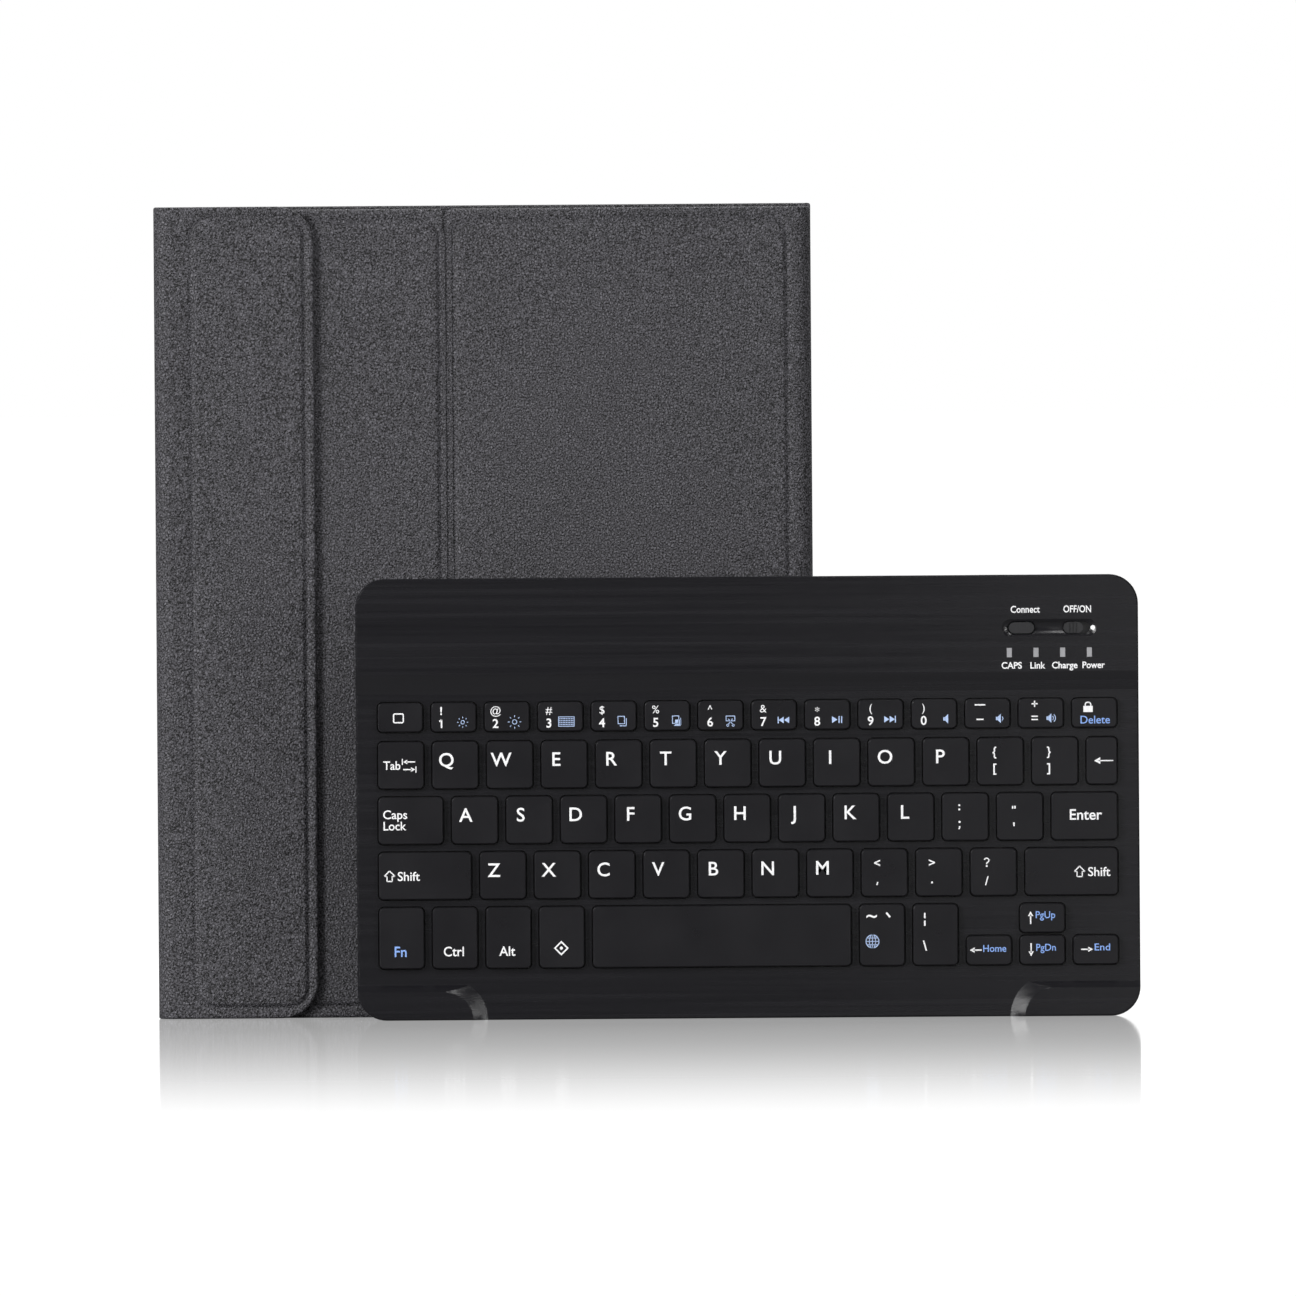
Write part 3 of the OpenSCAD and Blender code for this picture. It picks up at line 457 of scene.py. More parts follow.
def leather_panel(name, body, old, place, outline, wall, pad, open_sides, seed,
                  corner=(0.3 * MM,) * 4, nx=24, crown=0.12, back_lift=0.0):
    """A padded leather panel. outline is (x0, x1, z0, z1), wall its thickness up to the leather
    round the pad, pad the embossed rectangle (x0, x1, z0, z1, corner radius), and open_sides says
    which of its left, right, bottom and top edges are turned edges and not beside a bend. crown is
    how far the pad rises to its middle in mm, and back_lift how far in the panel's back lies."""
    x0, x1, z0, z1 = outline
    roll = 0.42 * wall
    left, right, low, high = open_sides

    def rim(inset, d, mat):
        radii = tuple(max(0.12 * MM, r - inset) for r in corner)
        return (x0 + inset * left, x1 - inset * right, z0 + inset * low, z1 - inset * high,
                radii, d, mat)

    levels = [rim(2.6 * MM, back_lift, BACK), rim(roll, back_lift, BACK)]
    for k in range(1, 5):
        t = math.radians(90 * k / 4)
        levels.append(rim(roll * (1 - math.sin(t)), back_lift + roll * (1 - math.cos(t)), RIM))
    for k in range(0, 5):
        t = math.radians(90 * k / 4)
        levels.append(rim(roll * (1 - math.cos(t)), wall - roll * (1 - math.sin(t)),
                          FACE if k else RIM))
    if pad:
        px0, px1, pz0, pz1, pr = pad

        def step(inset, d):
            return (px0 + inset, px1 - inset, pz0 + inset, pz1 - inset,
                    (max(0.4 * MM, pr - inset),) * 4, d, FACE)
        # A pressed line round the pad, then the pad's soft rise
        for inset, down in ((-1.5, 0.0), (-1.05, 0.07), (-0.6, 0.2), (-0.25, 0.32)):
            levels.append(step(inset * MM, wall - down * MM))
        for k in range(0, 8):
            t = k / 7
            levels.append(step((0.02 + t * 1.6) * MM, wall - GROOVE + (PAD + GROOVE) * smoothstep(t)))
        levels.append(step(3.2 * MM, wall + PAD))
        levels.append(step(6.5 * MM, wall + PAD))
    else:
        levels.append(rim(3 * MM, wall, FACE))
    wave = waves(seed)

    def relief(a, b, d):
        """The face's unevenness, fading at the edges, and the pad's slight crown."""
        if d < wall - GROOVE * 1.2:
            return 0.0
        edge = min((a - x0) / (3 * MM), (x1 - a) / (3 * MM),
                   (b - z0) / (2 * MM), (z1 - b) / (2 * MM), 1.0)
        out = (wave(a, b) - 0.05 * MM) * smoothstep(edge)
        if pad and d > wall + PAD * 0.9:
            u, v = (a - px0) / (px1 - px0) * 2 - 1, (b - pz0) / (pz1 - pz0) * 2 - 1
            out += crown * MM * (1 - u * u) * (1 - v * v) - 0.03 * MM
        return out

    o = stack(name, levels, place, [LEATHER, LINING, EDGE], nx, 60, relief)
    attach(o, body)
    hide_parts(old)
    return o


def facing_front(old):
    """Placement for a panel seen from the front: depth counts towards -Y from the node's back."""
    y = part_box(old)[1].y
    return lambda a, b, d: (a, y - d, b)


def facing_back(old):
    """Placement for a panel seen from behind."""
    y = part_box(old)[0].y
    return lambda a, b, d: (a, y + d, b)


def padded_panel(name, body, old, facing, wall, margins, pad_corner, open_sides, seed, **more):
    """A panel in the outline of the node `old`. margins are the distances in mm from its left
    edge, its right edge and its two ends to the pad."""
    lo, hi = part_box(old)
    left, right, ends = (v * MM for v in margins)
    pad = (lo.x + left, hi.x - right, lo.z + ends, hi.z - ends, pad_corner * MM)
    return leather_panel(name, body, old, facing(old), (lo.x, hi.x, lo.z, hi.z), wall, pad,
                         open_sides, seed, **more)


WALL, FLAP_WALL, STRIP_WALL = 2.4 * MM, 2.1 * MM, 1.5 * MM
FOLD_IN = 0.55      # from the fold crease to the pads beside it, mm

padded_panel("flap_skin", "closing_flap", "flap_leather", facing_front, FLAP_WALL,
             (6.6, 2.8, 3.3), 6.4, (0, 1, 1, 1), 1,
             corner=(0.2 * MM, 11.4 * MM, 11.4 * MM, 0.2 * MM), nx=18)
back = padded_panel("back_skin", "back_panel", "back_leather", facing_front, WALL,
                    (3.6, FOLD_IN, 3.6), 5.5, (1, 0, 1, 1), 2, back_lift=-0.03 * MM, crown=0.06)
padded_panel("stand_skin", "stand_panel", "prop_leather", facing_front, WALL,
             (FOLD_IN, 2.2, 3.6), 5.5, (0, 0, 1, 1), 3, nx=30)
padded_panel("cover_skin", "front_cover", "cover_leather", facing_back, WALL,
             (2.2, 2.2, 3.6), 5.5, (0, 0, 1, 1), 4, nx=44, back_lift=0.05 * MM)


def side_panel(name, body, old, sign, wall, seed):
    """The spine or the closing strip, seen from the side: depth counts along X from inside."""
    lo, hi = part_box(old)
    inner = lo.x if sign > 0 else hi.x
    leather_panel(name, body, old, lambda a, b, d: (inner + sign * d, a, b),
                  (lo.y, hi.y, lo.z, hi.z), wall, None, (0, 0, 1, 1), seed, nx=10)


side_panel("spine_skin", "spine", "spine_leather", 1, WALL, 5)
side_panel("strip_skin", "closing_strip", "strip_leather", -1, STRIP_WALL, 6)


def camera_window():
    """The middle (x, z) and radius of the round hole in the CAD leather, whose points are those
    near the top left corner but off the outline."""
    lo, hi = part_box("back_leather")
    near = [v.co for v in cad("back_leather").data.vertices
            if abs(v.co.x - WINDOW_X) < 12 * MM and v.co.x > lo.x + 8 * MM
            and hi.z - 40 * MM < v.co.z < hi.z - 8 * MM and v.co.y > hi.y - 3 * MM]
    xs, zs = [p.x for p in near], [p.z for p in near]
    return (min(xs) + max(xs)) / 2, (min(zs) + max(zs)) / 2, (max(xs) - min(xs)) / 2


def round_bar(name, x, z, r, ylo, yhi):
    n = 64
    ring = ellipse(x, z, r, r, n)
    verts = [(a, ylo, b) for a, b in ring] + [(a, yhi, b) for a, b in ring]
    faces = [tuple(range(n)), tuple(range(n, 2 * n))]
    faces += [(i, (i + 1) % n, n + (i + 1) % n, n + i) for i in range(n)]
    return finish_mesh(name, verts, faces, [EDGE])


def cut(o, tool):
    """Takes the tool's volume out of the object and removes the tool."""
    mod = o.modifiers.new("cut", "BOOLEAN")
    mod.object = tool
    mod.solver = "EXACT"
    dg = bpy.context.evaluated_depsgraph_get()
    me = bpy.data.meshes.new_from_object(o.evaluated_get(dg))
    o.modifiers.remove(mod)
    o.data = me
    bpy.data.objects.remove(tool, do_unlink=True)
    me.set_sharp_from_angle(angle=math.radians(35))


# The camera window goes through the back panel
WINDOW_X = cad_lo.x + 28.3 * MM     # about its middle
lo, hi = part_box("back_leather")
cut(back, round_bar("window_tool", *camera_window(), lo.y - 10 * MM, hi.y + 10 * MM))


# ------------------------------------------------------------------ bends and the fold crease

BEND_WALL = 1.5 * MM
CREASE_WALL = 0.7 * MM


def ring_of(r0, r1, z0, z1, nz):
    """Section of a leather sheet from radius r0 to r1, its top and bottom edges rounded."""
    h = (r1 - r0) / 2
    e = 0.98 * h
    pts = []
    for k in range(7):
        t = math.radians(180 + 180 * k / 6)
        pts.append((r0 + h + h * math.cos(t), z0 + e + e * math.sin(t)))
    pts += [(r1, z0 + e + (z1 - z0 - 2 * e) * k / nz) for k in range(1, nz)]
    for k in range(7):
        t = math.radians(180 * k / 6)
        pts.append((r0 + h + h * math.cos(t), z1 - e + e * math.sin(t)))
    pts += [(r0, z1 - e - (z1 - z0 - 2 * e) * k / nz) for k in range(1, nz)]
    return pts


def bend(name, old, sx, sy, seed):
    """A quarter bend of leather that replaces a CAD bend. sx and sy point from its centre."""
    lo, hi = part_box(old)
    r1 = hi.x - lo.x
    cx = lo.x if sx > 0 else hi.x
    cy = lo.y if sy > 0 else hi.y
    ring = ring_of(r1 - BEND_WALL, r1, lo.z, hi.z, 70)
    steps, n = 14, len(ring)
    wave = waves(seed, 0.05 * MM, 0.03)
    verts, faces = [], []
    for s in range(steps + 1):
        t = math.pi / 2 * s / steps
        mask = math.sin(2 * t)
        for r, z in ring:
            rr = r + wave(z, t * r1) * mask
            verts.append((cx + sx * rr * math.cos(t), cy + sy * rr * math.sin(t), z))
    for s in range(steps):
        for i in range(n):
            j = (i + 1) % n
            faces.append((s * n + i, s * n + j, (s + 1) * n + j, (s + 1) * n + i))
    faces.append(tuple(range(n)))
    faces.append(tuple(range(steps * n, (steps + 1) * n)))
    o = finish_mesh(name, verts, faces, [LEATHER], smooth=50)
    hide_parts(old)
    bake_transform(o)


bend("spine_front_skin", "spine_front_bend", 1, -1, 7)
bend("spine_rear_skin", "spine_rear_bend", 1, 1, 8)
bend("strip_rear_skin", "strip_rear_bend", -1, 1, 9)
bend("strip_front_skin", "strip_front_bend", -1, -1, 10)


def crease_sheet():
    """The thin leather of the fold, with a soft valley along its middle."""
    lo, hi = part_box("fold_crease")
    nx, nz = 18, 90
    width, wave = hi.x - lo.x, waves(11, 0.06 * MM, 0.02)
    verts, faces = [], []
    for j in range(nz + 1):
        z = lo.z + (hi.z - lo.z) * j / nz
        for i in range(nx + 1):
            t = i / nx
            dip = 0.42 * MM * math.sin(math.pi * t) ** 2
            y = lo.y + dip + wave(z, t) * math.sin(math.pi * t)
            verts.append((lo.x + width * t, y, z))
    m = len(verts)
    for j in range(nz + 1):
        for i in range(nx + 1):
            x, y, z = verts[j * (nx + 1) + i]
            verts.append((x, max(y, lo.y) + CREASE_WALL, z))
    row = nx + 1
    for j in range(nz):
        for i in range(nx):
            q = (j * row + i, j * row + i + 1, (j + 1) * row + i + 1, (j + 1) * row + i)
            faces += [q, tuple(m + k for k in q)]
        for i in (0, nx):
            p = j * row + i
            faces.append((p, p + row, p + row + m, p + m))
    for j in (0, nz):
        for i in range(nx):
            p = j * row + i
            faces.append((p, p + 1, p + 1 + m, p + m))
    o = finish_mesh("crease_skin", verts, faces, [LEATHER], smooth=50)
    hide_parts("fold_crease")
    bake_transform(o)


crease_sheet()

# ------------------------------------------------------------------ printed legends

INK = 0.02 * MM     # thickness of the printing
BOLD = 0.06         # extra weight of the letters, mm
BLUE_INK, PALE_INK = 1, 2   # materials of a print; 0 is white


def corners(x, y, w, h):
    """The corners of a w by h rectangle round (x, y)."""
    return [(x - w / 2, y - h / 2), (x + w / 2, y - h / 2),
            (x + w / 2, y + h / 2), (x - w / 2, y + h / 2)]


class Print:
    """Collects flat printed shapes in millimetres (x right, y up) and makes one thin mesh."""

    def __init__(self, name, body, y_face, slot):
        self.name, self.body, self.y, self.slot = name, body, y_face, slot
        self.verts, self.faces, self.mats = [], [], []

    def prism(self, pts, mat=0, hole=None):
        """A closed plate with this outline, and a matching inner outline if it is a ring."""
        base = len(self.verts)
        n = len(pts)
        for d in (0.0, INK):
            self.verts += [(a * MM, self.y - d, b * MM) for a, b in pts + (hole or [])]
        size = n + len(hole or [])
        if hole:
            for i in range(n):
                j = (i + 1) % n
                for f in ((i, j, n + j, n + i), (size + i, size + j, size + n + j, size + n + i),
                          (i, j, size + j, size + i), (n + i, n + j, size + n + j, size + n + i)):
                    self.faces.append(tuple(base + k for k in f))
                self.mats += [mat] * 4
        else:
            self.faces.append(tuple(range(base, base + n)))
            self.faces.append(tuple(range(base + n, base + 2 * n)))
            for i in range(n):
                j = (i + 1) % n
                self.faces.append((base + i, base + j, base + n + j, base + n + i))
            self.mats += [mat] * (n + 2)

    def line(self, p, q, w, mat=0):
        """A straight stroke from p to q, w wide."""
        (ax, ay), (bx, by) = p, q
        d = math.hypot(bx - ax, by - ay) or 1
        nx, ny = -(by - ay) / d * w / 2, (bx - ax) / d * w / 2
        self.prism([(ax + nx, ay + ny), (bx + nx, by + ny),
                    (bx - nx, by - ny), (ax - nx, ay - ny)], mat)

    def path(self, pts, w, mat=0):
        for p, q in zip(pts, pts[1:]):
            self.line(p, q, w, mat)

    def circle(self, x, y, r, w, mat=0, sx=1.0):
        """A ring with a stroke of w, sx times as wide as it is high."""
        self.prism(ellipse(x, y, sx * r, r, 24), mat, ellipse(x, y, sx * r - w, r - w, 24))

    def disc(self, x, y, r):
        self.prism(ellipse(x, y, r, r, 20))

    def frame(self, x, y, w, h, t, mat=0, r=0.0):
        """A rectangle's outline with a stroke of t, its corners rounded by r."""
        def box(w, h, r):
            if not r:
                return corners(x, y, w, h)
            return rect_loop(x - w / 2, x + w / 2, y - h / 2, y + h / 2, (r,) * 4, 1, 1, 4)
        self.prism(box(w, h, r), mat, box(w - 2 * t, h - 2 * t, max(0.05, r - t) if r else 0))

    def block(self, x, y, w, h, mat=0):
        self.prism(corners(x, y, w, h), mat)

    def arrow(self, x, y, length, direction, w, head):
        """An arrow whose point is at half its length from (x, y) in the direction (dx, dy)."""
        dx, dy = direction
        tx, ty = x + dx * length / 2, y + dy * length / 2
        self.line((x - dx * length / 2, y - dy * length / 2),
                  (tx - dx * head * 0.7, ty - dy * head * 0.7), w)
        bx, by = tx - dx * head, ty - dy * head
        self.prism([(tx, ty), (bx - dy * head * 0.55, by + dx * head * 0.55),
                    (bx + dy * head * 0.55, by - dx * head * 0.55)])

    def words(self, text, x, y, cap, mat=0, align="CENTER", weight=0.0, wide=1.0):
        """Text whose capitals are cap mm high, centred on y."""
        verts, faces = glyphs(text, align, weight / cap)
        base = len(self.verts)
        for a, b, d in verts:
            self.verts.append(((x + a * cap * wide) * MM, self.y - d * INK,
                               (y + (b - 0.5) * cap) * MM))
        self.faces += [tuple(base + i for i in f) for f in faces]
        self.mats += [mat] * len(faces)

    def make(self, mats=(WHITE, BLUE, PALE)):
        o = finish_mesh(self.name, self.verts, self.faces, list(mats), self.mats, 30)
        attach(o, self.body)


def text_mesh(text, align, weight):
    """Vertices and faces of a text in the built-in font, one unit thick."""
    cu = bpy.data.curves.new("words", "FONT")
    cu.body = text
    cu.align_x = align
    cu.extrude = 0.5
    cu.offset = weight
    cu.resolution_u = 4
    o = bpy.data.objects.new("words", cu)
    collection.objects.link(o)
    dg = bpy.context.evaluated_depsgraph_get()
    dg.update()
    me = bpy.data.meshes.new_from_object(o.evaluated_get(dg))
    verts = [tuple(v.co) for v in me.vertices]
    faces = [tuple(p.vertices) for p in me.polygons]
    bpy.data.objects.remove(o, do_unlink=True)
    bpy.data.curves.remove(cu)
    bpy.data.meshes.remove(me)
    return verts, faces


CAP = max(v[1] for v in text_mesh("H", "LEFT", 0.0)[0])


def glyphs(text, align, weight):
    """Vertices (x, y in units of the capital height, depth 0..1) and faces of a text."""
    verts, faces = text_mesh(text, align, weight * CAP)
    return [(x / CAP, y / CAP, z + 0.5) for x, y, z in verts], faces


def key_rects(name, n, w):
    """The lower left corner and size in mm of each key in a node of n keys that are w wide."""
    lo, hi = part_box(name)
    x0, x1, z0, z1 = (v / MM for v in (lo.x, hi.x, lo.z, hi.z))
    if n == 1:
        return [(x0, z0, x1 - x0, z1 - z0)]
    pitch = (x1 - x0 - w) / (n - 1)
    return [(x0 + i * pitch, z0, w, z1 - z0) for i in range(n)]


KEY_FACE = min(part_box(n)[0].y for n in KEY_NODES)
BAND_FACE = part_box("top_cover")[0].y
CLEAR = 0.004 * MM  # from a key's face to its legend's underside


def print_on(node_name):
    return Print("print_" + node_name, node_name, KEY_FACE - CLEAR, "key_plastic")


def one_key(name):
    return print_on(name), key_rects(name, 1, 0)[0]


def top_left(k, dx, dy):
    """The point dx to the right of a key's left edge and dy below its top, in mm."""
    return k[0] + dx, k[1] + k[3] - dy


PAIR_TOP = {"\"": 5.2, ":": 3.9}        # how far below the key's top edge a pair's upper
PAIR_LOW = {"'": 10.6, "/": 10.0}       # and lower character stand, where not 4.3 and 9.3 mm


def character(p, c, x, y):
    """One of a pair of characters, drawn where the font's own is unlike the usual one."""
    if c == "?":
        arc = [math.radians(165 - 27 * q) for q in range(9)]
        p.path([(x + 0.72 * math.cos(q), y + 0.62 + 0.66 * math.sin(q)) for q in arc]
               + [(x + 0.02, y - 0.15), (x + 0.02, y - 0.55)], 0.4)
        p.disc(x + 0.02, y - 1.15, 0.3)
    elif c == "\"":
        for way in (-0.36, 0.36):
            p.line((x + way, y + 1.2), (x + way, y + 0.35), 0.44)
    elif c in ",;":
        p.path([(x + 0.08, y - 0.85), (x + 0.08, y - 1.25), (x - 0.2, y - 1.75)], 0.44)
        if c == ";":
            p.disc(x + 0.05, y + 0.45, 0.34)
    else:
        p.words(c, x, y, 2.55, weight=0.09 if c in ":.'" else BOLD)


def letters(name, text, drift):
    """The legends stand a little further right on each key of a row."""
    p = print_on(name)
    for i, (k, t) in enumerate(zip(key_rects(name, len(text), LETTER_W), text)):
        x = k[0] + 4.35 + drift * min(i, 9)
        if len(t) == 1:
            p.words(t, x, top_left(k, 0, 5.65)[1], 4.1, weight=BOLD)
        else:
            character(p, t[0], x, top_left(k, 0, PAIR_TOP.get(t[0], 4.3))[1])
            character(p, t[1], x, top_left(k, 0, PAIR_LOW.get(t[1], 9.3))[1])
    p.make()


LETTER_W = 14.2     # width of a letter key, mm
letters("upper_row_keys", list("QWERTYUIOP") + ["{[", "}]"], 0.1)
letters("home_row_keys", list("ASDFGHJKL") + [":;", "\"'"], 0.1)
letters("lower_row_keys", list("ZXCVBNM") + ["<,", ">.", "?/"], 0.07)


def sun(p, x, y, r):
    p.circle(x, y, r * 0.4, 0.2, PALE_INK)
    for i in range(8):
        a = math.pi / 4 * i
        p.line((x + r * 0.78 * math.cos(a), y + r * 0.78 * math.sin(a)),
               (x + r * 1.06 * math.cos(a), y + r * 1.06 * math.sin(a)), 0.2, PALE_INK)


def speaker(p, x, y, marks):
    p.block(x - 0.95, y, 0.6, 1.1, PALE_INK)
    p.prism([(x - 0.75, y - 0.5), (x + 0.25, y - 1.45),
             (x + 0.25, y + 1.45), (x - 0.75, y + 0.5)], PALE_INK)
    for i in range(marks):
        r = 0.8 + 0.65 * i
        p.path([(x + 0.1 + r * math.cos(t), y + r * math.sin(t))
                for t in [math.radians(-50 + 25 * k) for k in range(5)]], 0.24, PALE_INK)


def triangle(p, x, y, s, way):
    """A triangle that points right where way is 1 and left where it is -1."""
    p.prism([(x + way * s, y), (x - way * s * 0.6, y + s), (x - way * s * 0.6, y - s)], PALE_INK)


def number_icons(p, i, x, y):
    """The icon beside the number on the key i of the number row."""
    if i in (1, 2):
        sun(p, x, y, 1.25 + 0.35 * i)
    elif i == 3:
        p.frame(x - 0.2, y, 5.0, 3.1, 0.2, PALE_INK)
        for r in range(4):
            for c in range(9):
                p.block(x - 2.2 + 0.5 * c, y + 0.9 - 0.6 * r, 0.3, 0.34, PALE_INK)
    elif i in (4, 5):
        p.frame(x - 0.35, y + 0.35, 2.2, 2.5, 0.22, PALE_INK)
        p.path([(x + 1.2, y + 0.9), (x + 1.2, y - 1.45), (x - 0.8, y - 1.45)], 0.24, PALE_INK)
        if i == 5:
            p.block(x + 0.45, y - 0.45, 1.9, 1.6, PALE_INK)
    elif i == 6:
        p.frame(x, y + 0.6, 2.9, 1.7, 0.22, PALE_INK)
        for way in (-1, 1):
            p.line((x - way * 0.75, y - 1.3), (x + way * 0.65, y + 0.5), 0.24, PALE_INK)
            p.circle(x + way * 0.85, y - 1.5, 0.42, 0.2, PALE_INK)
    elif i == 7:
        p.block(x - 1.85, y, 0.32, 2.1, PALE_INK)
        triangle(p, x - 0.75, y, 1.0, -1)
        triangle(p, x + 0.95, y, 1.0, -1)
    elif i == 8:
        triangle(p, x - 0.85, y, 1.05, 1)
        p.block(x + 0.7, y, 0.34, 2.1, PALE_INK)
        p.block(x + 1.5, y, 0.34, 2.1, PALE_INK)
    elif i == 9:
        triangle(p, x - 1.1, y, 1.0, 1)
        triangle(p, x + 0.6, y, 1.0, 1)
        p.block(x + 1.75, y, 0.32, 2.1, PALE_INK)
    elif i >= 10:
        speaker(p, x, y, i - 10)


# Where the digits and the icons stand on each key of the number row, from its left edge in mm
DIGIT_X = (3.1, 3.4, 3.4, 3.3, 3.4, 3.7, 3.6, 3.8, 3.8, 3.7, 4.6, 5.0)
ICON_X = (9.75, 9.3, 9.0, 9.6, 9.9, 10.0, 10.1, 9.85, 9.7, 11.0, 10.8, 9.9)
NUMBER_W = 13.854   # width of a number key, mm
p = print_on("number_row_keys")
for i, k in enumerate(key_rects("number_row_keys", 13, NUMBER_W)):
    if i == 0:
        x, y = top_left(k, 6.4, 4.7)
        p.frame(x, y, 3.4, 3.1, 0.4, 0, 0.6)
        continue
    upper, lower = "!@#$%^&*()"[i - 1:i], "1234567890"[i - 1:i]
    x, y = top_left(k, DIGIT_X[i - 1], 2.5)
    low = top_left(k, 0, 6.5)[1]
    if i == 11:
        p.block(x, y + 0.7, 3.3, 0.42)
        p.block(x, low + 0.2, 2.2, 0.42)
    elif i == 12:
        p.block(x, y + 0.9, 1.9, 0.4)
        p.block(x, y + 0.9, 0.4, 1.9)
        for d in (-0.5, 0.5):
            p.block(x, low + 0.55 + d, 2.0, 0.36)
    else:
        p.words(upper, x, y - (0.9 if upper == "*" else 0.0), 2.35,
                weight=0.09 if upper == "!" else 0.0)
        if lower == "1":
            p.path([(x - 0.6, low + 0.7), (x + 0.1, low + 1.25), (x + 0.1, low - 1.3)], 0.46)
        else:
            p.words(lower, x, low, 2.65, weight=BOLD)
    x, y = top_left(k, ICON_X[i - 1], 6.05)
    number_icons(p, i, x, y)
p.make()


p, k = one_key("delete_key")
x, y = top_left(k, 5.0, 2.7)
p.block(x, y - 0.6, 2.9, 1.9)
p.path([(x - 0.85, y + 0.3), (x - 0.85, y + 1.0), (x - 0.45, y + 1.45), (x + 0.45, y + 1.45),
        (x + 0.85, y + 1.0), (x + 0.85, y + 0.3)], 0.4)
x, y = top_left(k, k[2] / 2 + 0.2, 6.6)
p.words("Delete", x, y, 2.35, BLUE_INK, weight=0.02)
p.make()

p, k = one_key("tab_key")
x, y = top_left(k, 1.6, 7.3)
p.words("Tab", x, y, 2.55, align="LEFT", weight=0.04, wide=0.94)
for dy, way in ((1.1, -1), (-1.25, 1)):
    p.arrow(x + 8.0, y + dy, 3.7, (way, 0), 0.38, 1.3)
    p.block(x + 8.0 + way * 2.1, y + dy, 0.3, 1.9)
p.make()

p, k = one_key("backspace_key")
x, y = top_left(k, k[2] / 2 + 0.6, 7.3)
p.arrow(x, y, 5.9, (-1, 0), 0.36, 1.9)
p.make()

p, k = one_key("caps_key")
x, y = top_left(k, 1.3, 5.4)
p.words("Caps", x, y, 2.6, align="LEFT", weight=0.04)
p.words("Lock", x, y - 3.5, 2.6, align="LEFT", weight=0.04, wide=0.95)
p.make()

p, k = one_key("enter_key")
x, y = top_left(k, k[2] / 2 + 0.3, 6.8)
p.words("Enter", x, y, 3.15, weight=BOLD)
p.make()


def shift_arrow(p, x, y):
    p.path([(x - 0.8, y - 1.5), (x - 0.8, y + 0.1), (x - 1.65, y + 0.1), (x, y + 1.7),
            (x + 1.65, y + 0.1), (x + 0.8, y + 0.1), (x + 0.8, y - 1.5), (x - 0.8, y - 1.5)], 0.34)


p, k = one_key("left_shift_key")
x, y = top_left(k, 3.3, 7.4)
shift_arrow(p, x, y)
p.words("Shift", x + 2.4, y, 2.7, align="LEFT", weight=0.04)
p.make()

p, k = one_key("right_shift_key")
x, y = k[0] + k[2] - 9.3, top_left(k, 0, 7.4)[1]
shift_arrow(p, x - 2.5, y)
p.words("Shift", x, y, 2.7, align="LEFT", weight=0.04)
p.make()

for name, text, cap, mat in (("fn_key", "Fn", 3.1, BLUE_INK), ("ctrl_key", "Ctrl", 2.85, 0),
                             ("alt_key", "Alt", 2.85, 0)):
    p, k = one_key(name)
    x, y = top_left(k, k[2] / 2 - 0.4, 13.6)
    p.words(text, x, y, cap, mat, weight=0.05, wide=0.95)
    p.make()

# A plain diamond marks the command key
p, k = one_key("command_key")
x, y = top_left(k, k[2] / 2 - 0.2, 12.8)
p.prism([(x, y - 2.3), (x + 2.3, y), (x, y + 2.3), (x - 2.3, y)], 0,
        [(x, y - 1.65), (x + 1.65, y), (x, y + 1.65), (x - 1.65, y)])
p.disc(x, y, 0.5)
p.make()

p, k = one_key("globe_key")
x, y = top_left(k, 3.7, 3.2)
p.words("~", x, y, 4.0, weight=BOLD)
p.line((x + 4.5, y + 0.7), (x + 5.7, y - 0.75), 0.6)
x, y = top_left(k, 3.9, 11.4)
p.circle(x, y, 2.15, 0.3, PALE_INK)
p.circle(x, y, 2.15, 0.24, PALE_INK, 0.5)
p.line((x, y - 2.1), (x, y + 2.1), 0.22, PALE_INK)
for dy, half in ((-1.05, 1.8), (0, 2.1), (1.05, 1.8)):
    p.line((x - half, y + dy), (x + half, y + dy), 0.24, PALE_INK)
p.make()

p, k = one_key("backslash_key")
x, y = top_left(k, 3.6, 4.7)
p.line((x, y - 2.0), (x, y - 0.35), 0.5)
p.line((x, y + 0.35), (x, y + 2.0), 0.5)
p.words("\\", x, top_left(k, 0, 12.8)[1], 2.9, weight=0.08)
p.make()

# The arrow keys: the arrow's direction, length and place, and the word's place beside it
for name, text, way, length, dx, word_x, word_y, wide in (
        ("left_key", "Home", (-1, 0), 3.7, 2.8, 2.1, 0.5, 0.95),
        ("right_key", "End", (1, 0), 3.7, 4.2, 2.1, 0.7, 1.12),
        ("up_key", "PgUp", (0, 1), 4.0, 3.3, 1.4, 0.9, 0.95),
        ("down_key", "PgDn", (0, -1), 4.0, 3.4, 1.4, 0.7, 0.95)):
    p, k = one_key(name)
    x, y = top_left(k, dx, 4.4)
    p.arrow(x, y, length, way, 0.4, 1.5)
    p.words(text, x + word_x, y + word_y, 2.1, BLUE_INK, align="LEFT", weight=0.02, wide=wide)
    p.make()

